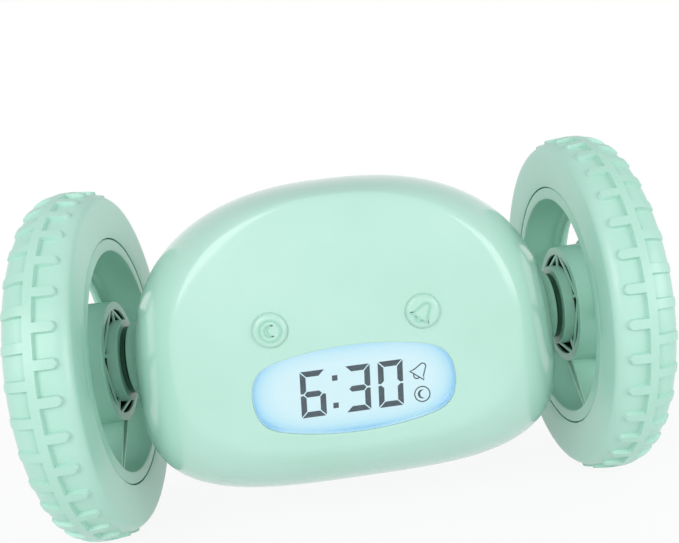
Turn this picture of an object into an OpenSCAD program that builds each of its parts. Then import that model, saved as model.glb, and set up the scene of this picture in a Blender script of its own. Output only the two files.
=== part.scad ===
// Alarm clock that drives away on two big side wheels.
// X is the wheel axis, the face looks toward -Y, +Z is up, and z = 0 is the floor.
// The body hangs between the wheels on two short driven axles.

/* [Wheels] */
// Outside radius of the tyre at its raised centre band
wheel_r = 44.5; // [42:0.5:46]
// Distance from the centre plane to the middle of a tyre
track_half = 64.5; // [64:0.1:66]
// Half of a tyre's width across its sidewalls
tyre_half_w = 7.5; // [7:0.1:8]
// Radius of the gap between tyre and rim
bead_r = 32; // [31:0.5:33]
// Lugs on each side of the tread
lug_count = 36; // [24:1:40]
// Height of the tread over the tyre's crown
lug_h = 1; // [0.5:0.1:1.4]
// Spokes in a rim
spoke_count = 5; // [3:1:6]
// Angle of the first spoke's outer end, from the front, upward
spoke_phase = 8.9; // [0:0.1:72]

/* [Body] */
// Greatest half width of the body
body_a = 53.6; // [52:0.1:54]
// Greatest height of the dome over the section's centre
body_top = 45.6; // [40:0.1:46]
// Greatest depth of the belly under the section's centre
body_bottom = 31.5; // [26:0.1:32]
// Section centre, measured from the axle
body_zc = -5; // [-6:0.1:-4]
// Half width of the face inside its soft edge
face_a = 38.5; // [36:0.1:40]
// Height of the face over its centre
face_top = 33.3; // [30:0.1:34]
// Depth of the face under its centre
face_bottom = 23.2; // [21:0.1:24]
// Face centre, measured from the axle
face_zc = 2.2; // [1:0.1:3]
// From the axle plane to the edge of the face
front_depth = 33; // [31:0.5:35]
// From the axle plane to the edge of the back
rear_depth = 27; // [26:0.5:30]
// How far the face bulges past its edge
face_dome = 1.6; // [1:0.1:2.5]
// Shell wall
wall = 2.2; // [2:0.1:2.4]

/* [Controls and display] */
// Radius of a front button
button_r = 3.9; // [3.5:0.1:4.2]
// Front buttons, from the centre plane
button_x = 16.85; // [15:0.1:19]
// Front buttons, over the axle
button_z = 8.1; // [7:0.1:10]
// Travel of a button
button_travel = 0.8; // [0.5:0.1:1]
// Radius of a small button on the back
set_button_r = 3; // [2.5:0.1:3.4]
// Width of the display window
window_w = 45.6; // [40:0.2:46]
// Height of the display window
window_h = 20; // [16:0.2:21]
// Window centre, measured from the axle
window_z = -7.3; // [-8:0.1:-6]

/* [Drive] */
// Radius of the driven axle
axle_r = 2; // [1.8:0.1:2.2]
// Play between a shaft and its bore, on the radius
running_gap = 0.05; // [0.03:0.01:0.08]

/* [Hidden] */

MINT = "#bfe8d8";
MINT_DARK = "#8fcdb4";
STEEL = "silver";
WHITE_PLASTIC = "#f2f2ee";
SMALL = 32;
ROUND = 64;
WHEEL_FN = 120;
LEFT = -1;
RIGHT = 1;
axle_z = wheel_r;

// ---- places ----

// Children drawn about the axle's centre, at their real height
module at_axle() {
    translate([0, 0, axle_z]) children();
}

// Children with +Z as their own axis, turned to point along +X and put on one side
module on_side(side) {
    at_axle() mirror([side == LEFT ? 1 : 0, 0, 0]) rotate([0, 90, 0]) rotate([0, 0, 90]) children();
}

// A rod along +X from x0 to x1, y and z from the axle, before on_side turns it: its own plane is y, z
module rod(r, x0, x1, y = 0, z = 0, fn = ROUND) {
    translate([y, z, x0]) cylinder(r = r, h = x1 - x0, $fn = fn);
}

// A rod along +Y from y0 to y1
module pin_y(r, y0, y1, x = 0, z = 0, fn = SMALL) {
    at_axle() translate([x, y0, z]) rotate([-90, 0, 0]) cylinder(r = r, h = y1 - y0, $fn = fn);
}

// A box given by its low and high corners, z from the axle
module block(low, high) {
    at_axle() translate(low) cube(high - low);
}

// ---- body surface ----

flank_end = 72;        // angle on the flank's quarter ellipse at which the face begins
seam_land = 2;         // straight length next to the seam
ring_points = 60;
flank_steps = 7;
face_steps = 3;
seam_top_n = 2.42;     // roundness of the section, dome and belly
seam_bottom_n = 3.5;
face_top_n = 2.23;
face_bottom_n = 2.88;

function mix(a, b, t) = a + (b - a) * t;
function power(c, e) = sign(c) * pow(abs(c), e);

// Sizes of a section: y, half width, top, bottom, top roundness, bottom roundness, centre height
function section(y, t, inset) = [y,
    mix(face_a, body_a, t) - inset, mix(face_top, body_top, t) - inset,
    mix(face_bottom, body_bottom, t) - inset,
    mix(face_top_n, seam_top_n, t), mix(face_bottom_n, seam_bottom_n, t), mix(face_zc, body_zc, t)];

// Ring of points on a section, drawn in by the factor f
function ring(s, f) = [for (i = [0 : ring_points - 1])
    let (a = 360 * i / ring_points, n = a <= 180 ? s[4] : s[5], b = a <= 180 ? s[2] : s[3])
    [f * s[1] * power(cos(a), 2 / n), s[0], s[6] + f * b * power(sin(a), 2 / n)]];

// All rings of one half, from the seam to the middle of the face or back
function half_rings(depth, inset) =
    let (reach = (depth - seam_land - inset) / sin(flank_end), end = cos(flank_end))
    concat([ring(section(0, 1, inset), 1)],
        [for (i = [0 : flank_steps]) let (a = flank_end * i / flank_steps)
            ring(section(seam_land + reach * sin(a), (cos(a) - end) / (1 - end), inset), 1)],
        [for (i = [1 : face_steps]) let (f = 1 - i / (face_steps + 0.4))
            ring(section(depth - inset + face_dome * (1 - f * f), 0, inset), f)]);

ring_total = flank_steps + face_steps + 2;
function pole(depth, inset) = [0, depth - inset + face_dome, face_zc];

function skin_points(depth, inset) =
    concat([for (r = half_rings(depth, inset)) each r], [pole(depth, inset)]);

// Triangles of one skin, from point number o, seen from outside, or from inside where flip is true
function skin_faces(o, flip) = let (n = ring_points) concat(
    [for (r = [0 : ring_total - 2], i = [0 : n - 1]) let (j = (i + 1) % n)
        each [turned([o + r * n + i, o + r * n + j, o + (r + 1) * n + i], flip),
              turned([o + r * n + j, o + (r + 1) * n + j, o + (r + 1) * n + i], flip)]],
    [for (i = [0 : n - 1]) let (j = (i + 1) % n, last = ring_total - 1)
        turned([o + last * n + i, o + last * n + j, o + ring_total * n], flip)]);
function turned(f, flip) = flip ? [f[2], f[1], f[0]] : f;

// Closed solid of one half of the body, drawn in by inset
module half_solid(depth, inset) {
    n = ring_points;
    polyhedron(skin_points(depth, inset), concat(skin_faces(0, false), [[for (i = [0 : n - 1]) n - 1 - i]]));
}

// One half of the body as a shell that is open at the seam
module half_shell(depth) {
    n = ring_points;
    o = ring_total * n + 1;
    polyhedron(concat(skin_points(depth, 0), skin_points(depth, wall)),
        concat(skin_faces(0, false), skin_faces(o, true),
            [for (i = [0 : n - 1]) let (j = (i + 1) % n) each [[i, o + i, j], [j, o + i, o + j]]]));
}

// Children drawn toward +Y become the front, toward -Y
module front() {
    mirror([0, 1, 0]) children();
}

// ---- shells ----

boss_r = 9.8;
boss_x0 = 46;
boss_x1 = 55.2;
bush_r = 4;
case_screw_x = [38, -38, 43, -43];
case_screw_z = [20, 20, -20, -20];
case_boss_r = 4.4;
screw_r = 1.4;
screw_head_r = 2.7;
screw_seat_y = 9;
screw_tip_y = -12;
board_post_x = 29;
board_post_z = [-13, 11];
board_y = -25;
board_t = 1.6;
set_row_z = 2;
set_button_x = [-30, -15, 15, 30];
set_post_x = 22.5;
set_board_y = 19;
speaker_z = 19.5;
speaker_r = 11.5;
speaker_y = 18.5;
door_half = 27;
door_y = 7;
door_top = -11;
door_gap = 0.2;
door_screw_x = 24.4;
door_screw_z = -14.2;
door_screw_tip_y = 15;
door_boss_y = 21;
door_boss_r = 2;
far = 60;
button_gap = 0.2;
knob_w = 5;
knob_h = 4;
knob_travel = 2;
window_points = 60;
window_end_n = 4.2;

// Barrel-shaped outline of the display window, drawn in by d: arched long sides, short steep ends
module window_outline(d = 0) {
    polygon([for (i = [0 : window_points - 1]) let (a = 360 * i / window_points)
        [(window_w / 2 - d) * power(cos(a), 2 / window_end_n), (window_h / 2 - d) * sin(a)]]);
}

// The window outline as a prism along Y
module window_prism(d, y0, y1) {
    at_axle() translate([0, y1, window_z]) rotate([90, 0, 0])
        linear_extrude(height = y1 - y0) window_outline(d);
}

// Half of the round side boss that holds an axle bush, cut at the seam
module side_boss(side, front_side) {
    intersection() {
        on_side(side) rod(boss_r, boss_x0, boss_x1);
        at_axle() translate([-far * 1.5, front_side ? -far : 0, -far]) cube([far * 3, far, far * 2]);
    }
}

module bush_bores() {
    for (side = [LEFT, RIGHT]) on_side(side) rod(bush_r, boss_x0 - 1, boss_x1 + 1);
}

module front_shell() {
    color(MINT) difference() {
        union() {
            at_axle() front() half_shell(front_depth);
            for (side = [LEFT, RIGHT]) side_boss(side, true);
            intersection() {
                at_axle() front() half_solid(front_depth, wall / 2);
                union() {
                    for (i = [0 : 3]) pin_y(case_boss_r, -far, 0, case_screw_x[i], case_screw_z[i]);
                    for (x = [-1, 1], z = board_post_z) pin_y(2.4, -far, board_y, x * board_post_x, z);
                }
            }
        }
        bush_bores();
        for (i = [0 : 3]) pin_y(screw_r, screw_tip_y, 1, case_screw_x[i], case_screw_z[i]);
        for (x = [-1, 1], z = board_post_z) pin_y(0.9, board_y - 4, board_y + 1, x * board_post_x, z);
        for (x = [-1, 1]) pin_y(button_r + button_gap, -far, -front_depth + wall + 2, x * button_x, button_z);
        window_prism(0, -far, -front_depth + wall + 2);
    }
}

module door_prism(d) {
    block([-door_half + d, door_y + d, -far], [door_half - d, far, door_top - d]);
}

module rear_shell() {
    color(MINT) difference() {
        union() {
            difference() {
                at_axle() half_shell(rear_depth);
                door_prism(0);
            }
            for (side = [LEFT, RIGHT]) side_boss(side, false);
            intersection() {
                at_axle() half_solid(rear_depth, wall / 2);
                union() {
                    for (i = [0 : 3]) pin_y(case_boss_r, 0, far, case_screw_x[i], case_screw_z[i]);
                    for (x = [-1, 1]) pin_y(2.2, set_board_y + board_t, far, x * set_post_x, set_row_z);
                    difference() {
                        pin_y(speaker_r + 1.5, speaker_y, far, 0, speaker_z, ROUND);
                        pin_y(speaker_r, speaker_y - 1, rear_depth - wall + 0.5, 0, speaker_z, ROUND);
                    }
                }
            }
        }
        bush_bores();
        for (i = [0 : 3]) {
            pin_y(screw_r, -1, far, case_screw_x[i], case_screw_z[i]);
            pin_y(screw_head_r + 0.3, screw_seat_y, far, case_screw_x[i], case_screw_z[i]);
        }
        for (x = [-1, 1]) pin_y(0.9, set_board_y - 1, set_board_y + board_t + 3, x * set_post_x, set_row_z);
        for (x = set_button_x) pin_y(set_button_r + button_gap, rear_depth - wall - 3, far, x, set_row_z);
        block([-knob_w / 2 - knob_travel - 0.4, rear_depth - wall - 2, set_row_z - knob_h / 2 - 0.3],
            [knob_w / 2 + knob_travel + 0.4, far, set_row_z + knob_h / 2 + 0.3]);
        speaker_holes();
    }
}

// Round pattern of sound holes through the back
module speaker_holes() {
    pin_y(0.9, rear_depth - wall - 1, far, 0, speaker_z, 24);
    for (row = [1 : 2], i = [0 : row * 6 - 1])
        pin_y(0.9, rear_depth - wall - 1, far,
            row * 3.6 * cos(60 * i / row), speaker_z + row * 3.6 * sin(60 * i / row), 24);
}

module battery_door() {
    color(MINT) difference() {
        union() {
            intersection() {
                at_axle() half_shell(rear_depth);
                door_prism(door_gap);
            }
            intersection() {
                at_axle() half_solid(rear_depth, wall / 2);
                pin_y(door_boss_r, door_boss_y, far, door_screw_x, door_screw_z);
            }
        }
        pin_y(1.1, 0, far, door_screw_x, door_screw_z);
        pin_y(2.1, rear_depth - 2.4, far, door_screw_x, door_screw_z);
    }
}

// A pan head screw along Y with a cross recess, head toward +Y
module screw_y(r, head_r, head_h, tip_y, seat_y, x, z) {
    difference() {
        union() {
            pin_y(r, tip_y, seat_y, x, z);
            pin_y(head_r, seat_y, seat_y + head_h, x, z);
        }
        for (t = [0, 90]) at_axle() translate([x, seat_y + head_h, z]) rotate([0, t, 0])
            cube([head_r * 1.2, head_h, head_r * 0.3], center = true);
    }
}

module battery_door_screw() {
    color(STEEL) screw_y(1.1, 2, 1, door_screw_tip_y, rear_depth - 2.4, door_screw_x, door_screw_z);
}

module case_screws() {
    color(STEEL) for (i = [0 : 3])
        screw_y(screw_r, screw_head_r, 1.8, screw_tip_y, screw_seat_y, case_screw_x[i], case_screw_z[i]);
}

// ---- display, board and front buttons ----

lens_front_y = -33.8;
lens_back_y = -30.1;
lcd_w = 45;
lcd_h = 18.8;
lcd_y0 = -30.1;
lcd_y1 = -28.5;
guide_y1 = -26.5;
frame_w = 48;
frame_h = 21;
frame_y0 = -29.4;

module display_lens() {
    color("#c9f3ff", 0.5) window_prism(0.05, lens_front_y, lens_back_y);
}

// Block centred on the window, along Y from y0 to y1
module window_block(w, h, y0, y1) {
    block([-w / 2, y0, window_z - h / 2], [w / 2, y1, window_z + h / 2]);
}

module lcd_frame() {
    color(WHITE_PLASTIC) difference() {
        window_block(frame_w, frame_h, frame_y0, board_y);
        window_block(lcd_w, lcd_h, frame_y0 - 1, guide_y1);
        window_block(lcd_w - 6, lcd_h - 6, guide_y1 - 1, board_y + 1);
    }
}

module lcd_glass() {
    color("#dff7fa") window_block(lcd_w, lcd_h, lcd_y0, lcd_y1);
}

module backlight_guide() {
    color("#e8fbff") window_block(lcd_w, lcd_h, lcd_y1, guide_y1);
}

module main_board() {
    color("#2f7d4f") difference() {
        block([-34, board_y, -16.5], [34, board_y + board_t, 15]);
        for (x = [-1, 1], z = board_post_z) pin_y(1.3, board_y - 1, board_y + board_t + 1, x * board_post_x, z);
    }
}

module board_screws() {
    color(STEEL) {
        for (x = [-1, 1], z = board_post_z)
            screw_y(0.9, 1.8, 1.2, board_y - 4, board_y + board_t, x * board_post_x, z);
        for (x = [-1, 1])
            front_screw(x * set_post_x, set_row_z);
    }
}

// Screw that holds the set board, head toward -Y
module front_screw(x, z) {
    difference() {
        union() {
            pin_y(0.9, set_board_y, set_board_y + board_t + 3, x, z);
            pin_y(1.8, set_board_y - 1.2, set_board_y, x, z);
        }
        for (t = [0, 90]) at_axle() translate([x, set_board_y - 1.2, z]) rotate([0, t, 0])
            cube([2.2, 1.2, 0.6], center = true);
    }
}

switch_gap = 0.1;
front_stem_y = -28.6;
front_flange_y = -31.5;
button_proud_y = -35.5;

module button_switches() {
    color("#3a3a3c") for (x = [-1, 1]) {
        block([x * button_x - 3, board_y - 2, button_z - 3], [x * button_x + 3, board_y, button_z + 3]);
        pin_y(1.7, front_stem_y + button_travel + switch_gap, board_y - 1, x * button_x, button_z);
    }
}

// Round front button: cap, inner flange and stem
module front_button(x) {
    color(MINT) {
        pin_y(button_r, button_proud_y, front_flange_y, x, button_z, ROUND);
        pin_y(button_r + 1.3, front_flange_y, front_flange_y + 0.8, x, button_z, ROUND);
        pin_y(1.6, front_flange_y, front_stem_y, x, button_z);
    }
}

module snooze_button() {
    front_button(-button_x);
}

module alarm_button() {
    front_button(button_x);
}

// ---- set buttons, switch and speaker on the back ----

set_proud = 0.9;
set_flange_y = 23.2;
set_stem_y = 22.2;

module set_board() {
    color("#2f7d4f") difference() {
        block([-35, set_board_y, set_row_z - 4], [35, set_board_y + board_t, set_row_z + 4.5]);
        for (x = [-1, 1]) pin_y(1.3, set_board_y - 1, set_board_y + board_t + 1, x * set_post_x, set_row_z);
    }
}

module set_switches() {
    color("#3a3a3c") for (x = set_button_x)
        block([x - 2, set_board_y + board_t, set_row_z - 2],
            [x + 2, set_stem_y - button_travel - switch_gap, set_row_z + 2]);
}

// Height of the back's skin at a place on it, from the axle plane
function back_y(x, z) =
    let (d = z - face_zc, n = d > 0 ? face_top_n : face_bottom_n, b = d > 0 ? face_top : face_bottom,
        f = pow(pow(abs(x) / face_a, n) + pow(abs(d) / b, n), 1 / n))
    rear_depth + face_dome * (1 - f * f);

// Small button on the back: cap, inner flange and stem
module set_button(x) {
    color(MINT) {
        pin_y(set_button_r, set_flange_y, back_y(x, set_row_z) + set_proud, x, set_row_z, ROUND);
        pin_y(set_button_r + 0.9, set_flange_y - 0.6, set_flange_y, x, set_row_z, ROUND);
        pin_y(1.2, set_stem_y, set_flange_y, x, set_row_z);
    }
}

module hour_button() {
    set_button(set_button_x[0]);
}

module minute_button() {
    set_button(set_button_x[1]);
}

module clock_set_button() {
    set_button(set_button_x[2]);
}

module alarm_set_button() {
    set_button(set_button_x[3]);
}

module wheel_switch() {
    color("#3a3a3c") difference() {
        block([-6, set_board_y + board_t, set_row_z - 3.2], [6, 23.6, set_row_z + 3.2]);
        block([-4.4, 22, set_row_z - 1.3], [4.4, 25, set_row_z + 1.3]);
    }
}

module wheel_switch_knob() {
    color("#4a5a58") {
        block([-1.5 - knob_travel, 22.3, set_row_z - 1], [1.5 - knob_travel, 25, set_row_z + 1]);
        block([-knob_w / 2 - knob_travel, 24.4, set_row_z - knob_h / 2],
            [knob_w / 2 - knob_travel, back_y(0, set_row_z) + 0.8, set_row_z + knob_h / 2]);
    }
}

module speaker_frame() {
    color("#454547") difference() {
        union() {
            pin_y(speaker_r, speaker_y, 23.2, 0, speaker_z, ROUND);
            pin_y(6.5, speaker_y - 3.5, speaker_y, 0, speaker_z, ROUND);
        }
        pin_y(speaker_r - 1.1, speaker_y + 1.2, 24, 0, speaker_z, ROUND);
    }
}

module speaker_cone() {
    color("#2b2b2d") at_axle() translate([0, 0, speaker_z]) rotate([-90, 0, 0]) rotate_extrude($fn = ROUND)
        polygon([[0, 20.2], [3, 20.2], [9, 22], [speaker_r - 1.1, 22], [speaker_r - 1.1, 22.5],
            [9, 22.5], [3, 20.9], [0, 20.9]]);
}

// ---- batteries ----

cell_r = 5.25;
cell_len = 44.5;
cap_t = 1;             // raised contact at the positive end
cap_contact_r = 1.9;
cell_y = [8, 8, 17.3, 17.3];
cell_z = [-25, -14.2, -19.3, -8.75];
cell_x0 = -cell_len / 2;
contact_x = cell_len / 2 + 0.05;
contact_plate_r = 3;
contact_plate_t = 0.6;
box_end = 28;
box_end_t = 1.5;
box_front_y = 2.7;
box_step_y = 11.8;
cell_top_low = -8.8;
cell_top_high = -3.4;

module batteries() {
    color("#4b5358") for (i = [0 : 3]) at_axle()
        translate([cell_x0, cell_y[i], cell_z[i]]) mirror([i % 2, 0, 0])
            translate([i % 2 == 1 ? -cell_len : 0, 0, 0]) rotate([0, 90, 0]) {
                cylinder(r = cell_r, h = cell_len - cap_t, $fn = ROUND);
                cylinder(r = cap_contact_r, h = cell_len, $fn = SMALL);
            }
}

// Side view of the battery box, y and z from the axle
module box_outline() {
    polygon([[1.5, -30.9], [8, -30.4], [14, -28.2], [18, -25.4], [21, -22.2], [22.6, -19.4], [23.6, -17.2],
        [23.8, -14], [23.8, -2.2], [1.5, -2.2]]);
}

module battery_box() {
    color("#55605e") difference() {
        at_axle() rotate([90, 0, 90]) translate([0, 0, -box_end])
            linear_extrude(height = 2 * box_end) box_outline();
        difference() {
            union() {
                block([-box_end + box_end_t, box_front_y, -far], [box_end - box_end_t, far, cell_top_low]);
                block([-box_end + box_end_t, box_step_y, -far], [box_end - box_end_t, far, cell_top_high]);
            }
            block([22.6, 12, door_screw_z - 1.9], [box_end, door_boss_y, door_screw_z + 1.9]);
        }
        pin_y(1.1, door_screw_tip_y - 0.5, far, door_screw_x, door_screw_z);
    }
}

// A plate on the box's end wall at each end of each cell, with a cone that reaches the cell
module battery_contacts() {
    plate_x = box_end - box_end_t - contact_plate_t;
    color(STEEL) for (side = [0, 1], i = [0 : 3])
        at_axle() mirror([side, 0, 0]) translate([contact_x, cell_y[i], cell_z[i]]) rotate([0, 90, 0]) {
            cylinder(r1 = 1.6, r2 = 2.6, h = plate_x - contact_x, $fn = SMALL);
            translate([0, 0, plate_x - contact_x]) cylinder(r = contact_plate_r, h = contact_plate_t, $fn = SMALL);
        }
}

// ---- drive ----

out_module = 0.6;      // the pair on the axle
motor_module = 0.5;    // the pair on the motor
out_teeth = 36;
small_teeth = 10;
big_teeth = 30;
mesh_slack = 0.1;      // added to each centre distance
motor_y = -14.5;
motor_z = -15.5;
out_distance = out_module * (out_teeth + small_teeth) / 2 + mesh_slack;
motor_distance = motor_module * (big_teeth + small_teeth) / 2 + mesh_slack;
motor_reach = norm([motor_y, motor_z]);
motor_angle = atan2(motor_z, motor_y);
idler_swing = acos((out_distance ^ 2 + motor_reach ^ 2 - motor_distance ^ 2) / (2 * out_distance * motor_reach));
idler_angle = motor_angle - idler_swing;
idler_y = out_distance * cos(idler_angle);
idler_z = out_distance * sin(idler_angle);
pinion_angle = atan2(motor_z - idler_z, motor_y - idler_y);

pressure = 20;
flank_points = 3;

// Extra turn of an involute at radius r over base radius b, in degrees
function involute(r, b) = let (a = acos(min(1, b / r))) tan(a) * 180 / PI - a;

// Half angle of a tooth at radius r
function tooth_half(r, teeth, m) = let (b = m * teeth / 2 * cos(pressure))
    90 / teeth * 0.86 + involute(m * teeth / 2, b) - involute(max(r, b), b);

// Outline of a spur gear with one tooth centred on the angle phase
module gear_outline(teeth, m, addendum, phase) {
    tip = m * (teeth / 2 + addendum);
    root = m * (teeth / 2 - 1.25);
    base = m * teeth / 2 * cos(pressure);
    low = max(base, root);
    radii = [root, for (i = [0 : flank_points]) mix(low, tip, i / flank_points)];
    polygon([for (k = [0 : teeth - 1], s = [-1, 1], j = [0 : len(radii) - 1])
        let (r = radii[s < 0 ? j : len(radii) - 1 - j], a = phase + 360 * k / teeth + s * tooth_half(r, teeth, m))
        [r * cos(a), r * sin(a)]]);
}

// A gear as a disc along the wheel axis from x0 to x1
module gear(teeth, m, addendum, phase, x0, x1, y, z) {
    translate([y, z, x0]) linear_extrude(height = x1 - x0) gear_outline(teeth, m, addendum, phase);
}

// Tooth phase of a gear that meshes with another one, which lies in the direction "toward"
// seen from the driving gear and has a tooth at drive_phase
function mesh_phase(drive_teeth, drive_phase, teeth, toward) =
    let (past = (toward - drive_phase) * drive_teeth / 360) toward + 180 - (0.5 - past) * 360 / teeth;

out_phase = 0;
small_phase = mesh_phase(out_teeth, out_phase, small_teeth, idler_angle);
pinion_phase = mesh_phase(big_teeth, small_phase, small_teeth, pinion_angle);

case_x0 = 28;
case_x1 = 36.8;
cover_x1 = 38;
plate_t = 1.2;
motor_x0 = 3;
motor_r = 10;
motor_flat = 15;
shaft_r = 1;

module motor(side) {
    color(STEEL) on_side(side) difference() {
        union() {
            intersection() {
                rod(motor_r, motor_x0, case_x0, motor_y, motor_z);
                translate([motor_y - motor_flat / 2, motor_z - motor_r, 0]) cube([motor_flat, 2 * motor_r, far]);
            }
            rod(3, motor_x0 - 1.5, case_x0 + 1, motor_y, motor_z);
        }
        rod(shaft_r + running_gap, 0, far, motor_y, motor_z);
        rod(5, motor_x0 + 2, case_x0 - 2, motor_y, motor_z);
    }
}

module motor_shaft(side) {
    color(STEEL) on_side(side) {
        rod(shaft_r, motor_x0 - 2, 33, motor_y, motor_z);
        rod(4, motor_x0 + 3, case_x0 - 3, motor_y, motor_z);
    }
}

module motor_pinion(side) {
    color("#e8e4d8") on_side(side) difference() {
        gear(small_teeth, motor_module, 0.8, pinion_phase, 29.6, 32.4, motor_y, motor_z);
        rod(shaft_r, 0, far, motor_y, motor_z);
    }
}

module idler_gear(side) {
    color("#e8e4d8") on_side(side) difference() {
        union() {
            gear(big_teeth, motor_module, 0.6, small_phase, 30, 32, idler_y, idler_z);
            gear(small_teeth, out_module, 0.8, small_phase, 32, 36, idler_y, idler_z);
            rod(2, 29.5, 36.3, idler_y, idler_z);
        }
        rod(shaft_r + running_gap, 0, far, idler_y, idler_z);
    }
}

module idler_pin(side) {
    color(STEEL) on_side(side) rod(shaft_r, case_x0 + 0.2, cover_x1, idler_y, idler_z);
}

module output_gear(side) {
    color("#e8e4d8") on_side(side) difference() {
        union() {
            gear(out_teeth, out_module, 0.6, out_phase, 33, 35.6, 0, 0);
            rod(4, 29.6, 36.4);
        }
        rod(axle_r, 0, far);
    }
}

// Outline round the three shafts, grown by d
module gearbox_outline(d) {
    circle(r = 12.6 + d, $fn = ROUND);
    translate([idler_y, idler_z]) circle(r = 8.6 + d, $fn = ROUND);
    translate([motor_y, motor_z]) circle(r = 6.2 + d, $fn = ROUND);
    polygon([[0, 0], [idler_y, idler_z], [motor_y, motor_z]]);
}

module gearbox_case(side) {
    color("#55605e") on_side(side) difference() {
        translate([0, 0, case_x0]) linear_extrude(height = case_x1 - case_x0) gearbox_outline(1.2);
        translate([0, 0, case_x0 + plate_t]) linear_extrude(height = far) gearbox_outline(0);
        rod(axle_r + running_gap, 0, far);
        rod(3, 0, far, motor_y, motor_z);
        rod(shaft_r, 0, far, idler_y, idler_z);
    }
}

module gearbox_cover(side) {
    color("#55605e") on_side(side) difference() {
        translate([0, 0, case_x1]) linear_extrude(height = cover_x1 - case_x1) gearbox_outline(1.2);
        rod(axle_r + running_gap, 0, far);
        rod(shaft_r, 0, far, idler_y, idler_z);
    }
}

// ---- axles and wheels ----

axle_x0 = 28.2;
axle_x1 = 67;
bush_x0 = 47;
bush_flange_x = 55.5;
hub_face_x = 56.8;
washer_x0 = 55.7;
washer_r = 8.7;
drum_r = 10.6;
cup_r = 15.6;
cup_wall = 2.1;
cup_x0 = 59;
rim_x0 = 57.6;
rim_x1 = 2 * track_half - rim_x0;
rim_lip_r = 28.8;
disc_x1 = rim_x1 - 1.8;
disc_t = 1.6;
disc_x0 = disc_x1 - disc_t;
hub_seat_x = rim_x1 - 3.8;
window_r0 = 17.6;
window_r1 = 25.7;
spoke_wall = 0.8;
rib_t = 0.9;
rib_phase = 17;
rib_h = 3;
deep_spoke = 4;
cap_r = 8;
tread_r = wheel_r - lug_h;
band_half = 1.05;

module axle(side) {
    color(STEEL) on_side(side) difference() {
        rod(axle_r, axle_x0, axle_x1);
        rod(0.9, axle_x1 - 10, axle_x1 + 1);
    }
}

module axle_bush(side) {
    color("#3c4a46") on_side(side) difference() {
        union() {
            rod(bush_r, bush_x0, boss_x1);
            rod(6, boss_x1, bush_flange_x);
        }
        rod(axle_r + running_gap, 0, far);
    }
}

module hub_washer(side) {
    color("#2c3836") on_side(side) difference() {
        rod(washer_r, washer_x0, hub_face_x);
        rod(axle_r, 0, far);
    }
}

// Section of the rim's barrel, cup and drum, radius first
module rim_section() {
    polygon([[rim_lip_r, rim_x0], [bead_r - 0.1, rim_x0], [bead_r - 0.1, rim_x0 + 1], [31, rim_x0 + 1],
        [31, rim_x1 - 1], [bead_r - 0.1, rim_x1 - 1], [bead_r - 0.1, rim_x1], [rim_lip_r, rim_x1],
        [28.2, disc_x1], [13, disc_x1], [12, rim_x1], [cap_r, rim_x1], [cap_r, hub_seat_x],
        [axle_r, hub_seat_x], [axle_r, hub_face_x], [drum_r, hub_face_x], [drum_r, disc_x0],
        [cup_r - cup_wall, disc_x0], [cup_r - cup_wall, cup_x0], [cup_r, cup_x0], [cup_r + 0.3, disc_x0],
        [27, disc_x0], [28, disc_x0 - 1]]);
}

// Outline of a slanted spoke, distance out first, from inside the cup's wall to inside the barrel
spoke_front = [[14.5, 1.55], [29.5, -1.34]];
spoke_rear = [[14, 6.14], [29.5, 0.91]];

function wall_outline(edge, a, b) = [edge[0] + [0, a], edge[1] + [0, a], edge[1] + [0, b], edge[0] + [0, b]];

module spoke_outline() {
    polygon([spoke_front[0], spoke_front[1], spoke_rear[1], spoke_rear[0]]);
}

// The two walls that stiffen a spoke, toward the body
module spoke_walls(height) {
    translate([0, 0, disc_x0 - height]) linear_extrude(height = height + 0.1) {
        polygon(wall_outline(spoke_front, 0.1, spoke_wall));
        polygon(wall_outline(spoke_rear, -spoke_wall, -0.1));
    }
}

// Ribs that carry the drum inside the cup: one straight out and one across to the cup's wall
module cup_ribs() {
    translate([0, 0, cup_x0]) linear_extrude(height = disc_x0 - cup_x0 + 0.1) {
        translate([drum_r - 0.5, -rib_t / 2]) square([cup_r - cup_wall - drum_r + 1, rib_t]);
        rotate(-31) translate([drum_r + 0.45, -8]) square([rib_t, 16]);
    }
}

// Turns children to the place of a spoke or rib, counted from the front, upward
module spoke_place(phase, i) {
    rotate(180 - phase - 360 / spoke_count * i) children();
}

module rim(side) {
    color(MINT_DARK) on_side(side) {
        difference() {
            rotate_extrude($fn = WHEEL_FN) rim_section();
            translate([0, 0, disc_x0 - 0.1]) linear_extrude(height = disc_t + 1) difference() {
                circle(r = window_r1, $fn = WHEEL_FN);
                circle(r = window_r0, $fn = WHEEL_FN);
                for (i = [0 : spoke_count - 1]) spoke_place(spoke_phase, i) spoke_outline();
            }
        }
        for (i = [0 : spoke_count - 1]) {
            spoke_place(spoke_phase, i) spoke_walls(i == deep_spoke ? disc_x0 - cup_x0 - 0.2 : rib_h);
            spoke_place(rib_phase, i) cup_ribs();
        }
    }
}

// Halves of the tyre's section, toward the body and away from it; points are radius, offset from the middle
tyre_inner = [[31, 5.9], [bead_r, 5.9], [bead_r, 7], [34, 7.35], [38, 7.62], [41, 7.7], [42.2, 7.3],
    [42.9, 6.4], [43.3, 5.2], [43.45, 3], [tread_r, band_half]];
tyre_outer = [[31, 5.9], [bead_r, 5.9], [bead_r, 6.9], [34, 7.4], [36, tyre_half_w], [38, 7.45], [39.9, 7],
    [41.3, 6.3], [42.3, 5.4], [42.9, 4.4], [43.3, 2.9], [tread_r, band_half]];
cavity_half = [[31, 4.4], [37, 5], [39.5, 3.8], [40.6, 1.6]];

// Two half sections as one ring about the track, radius first
function both(outer, inner) = [for (p = concat(outer, [for (i = [len(inner) - 1 : -1 : 0])
    [inner[i][0], -inner[i][1]]])) [p[0], p[1] + track_half]];

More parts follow.
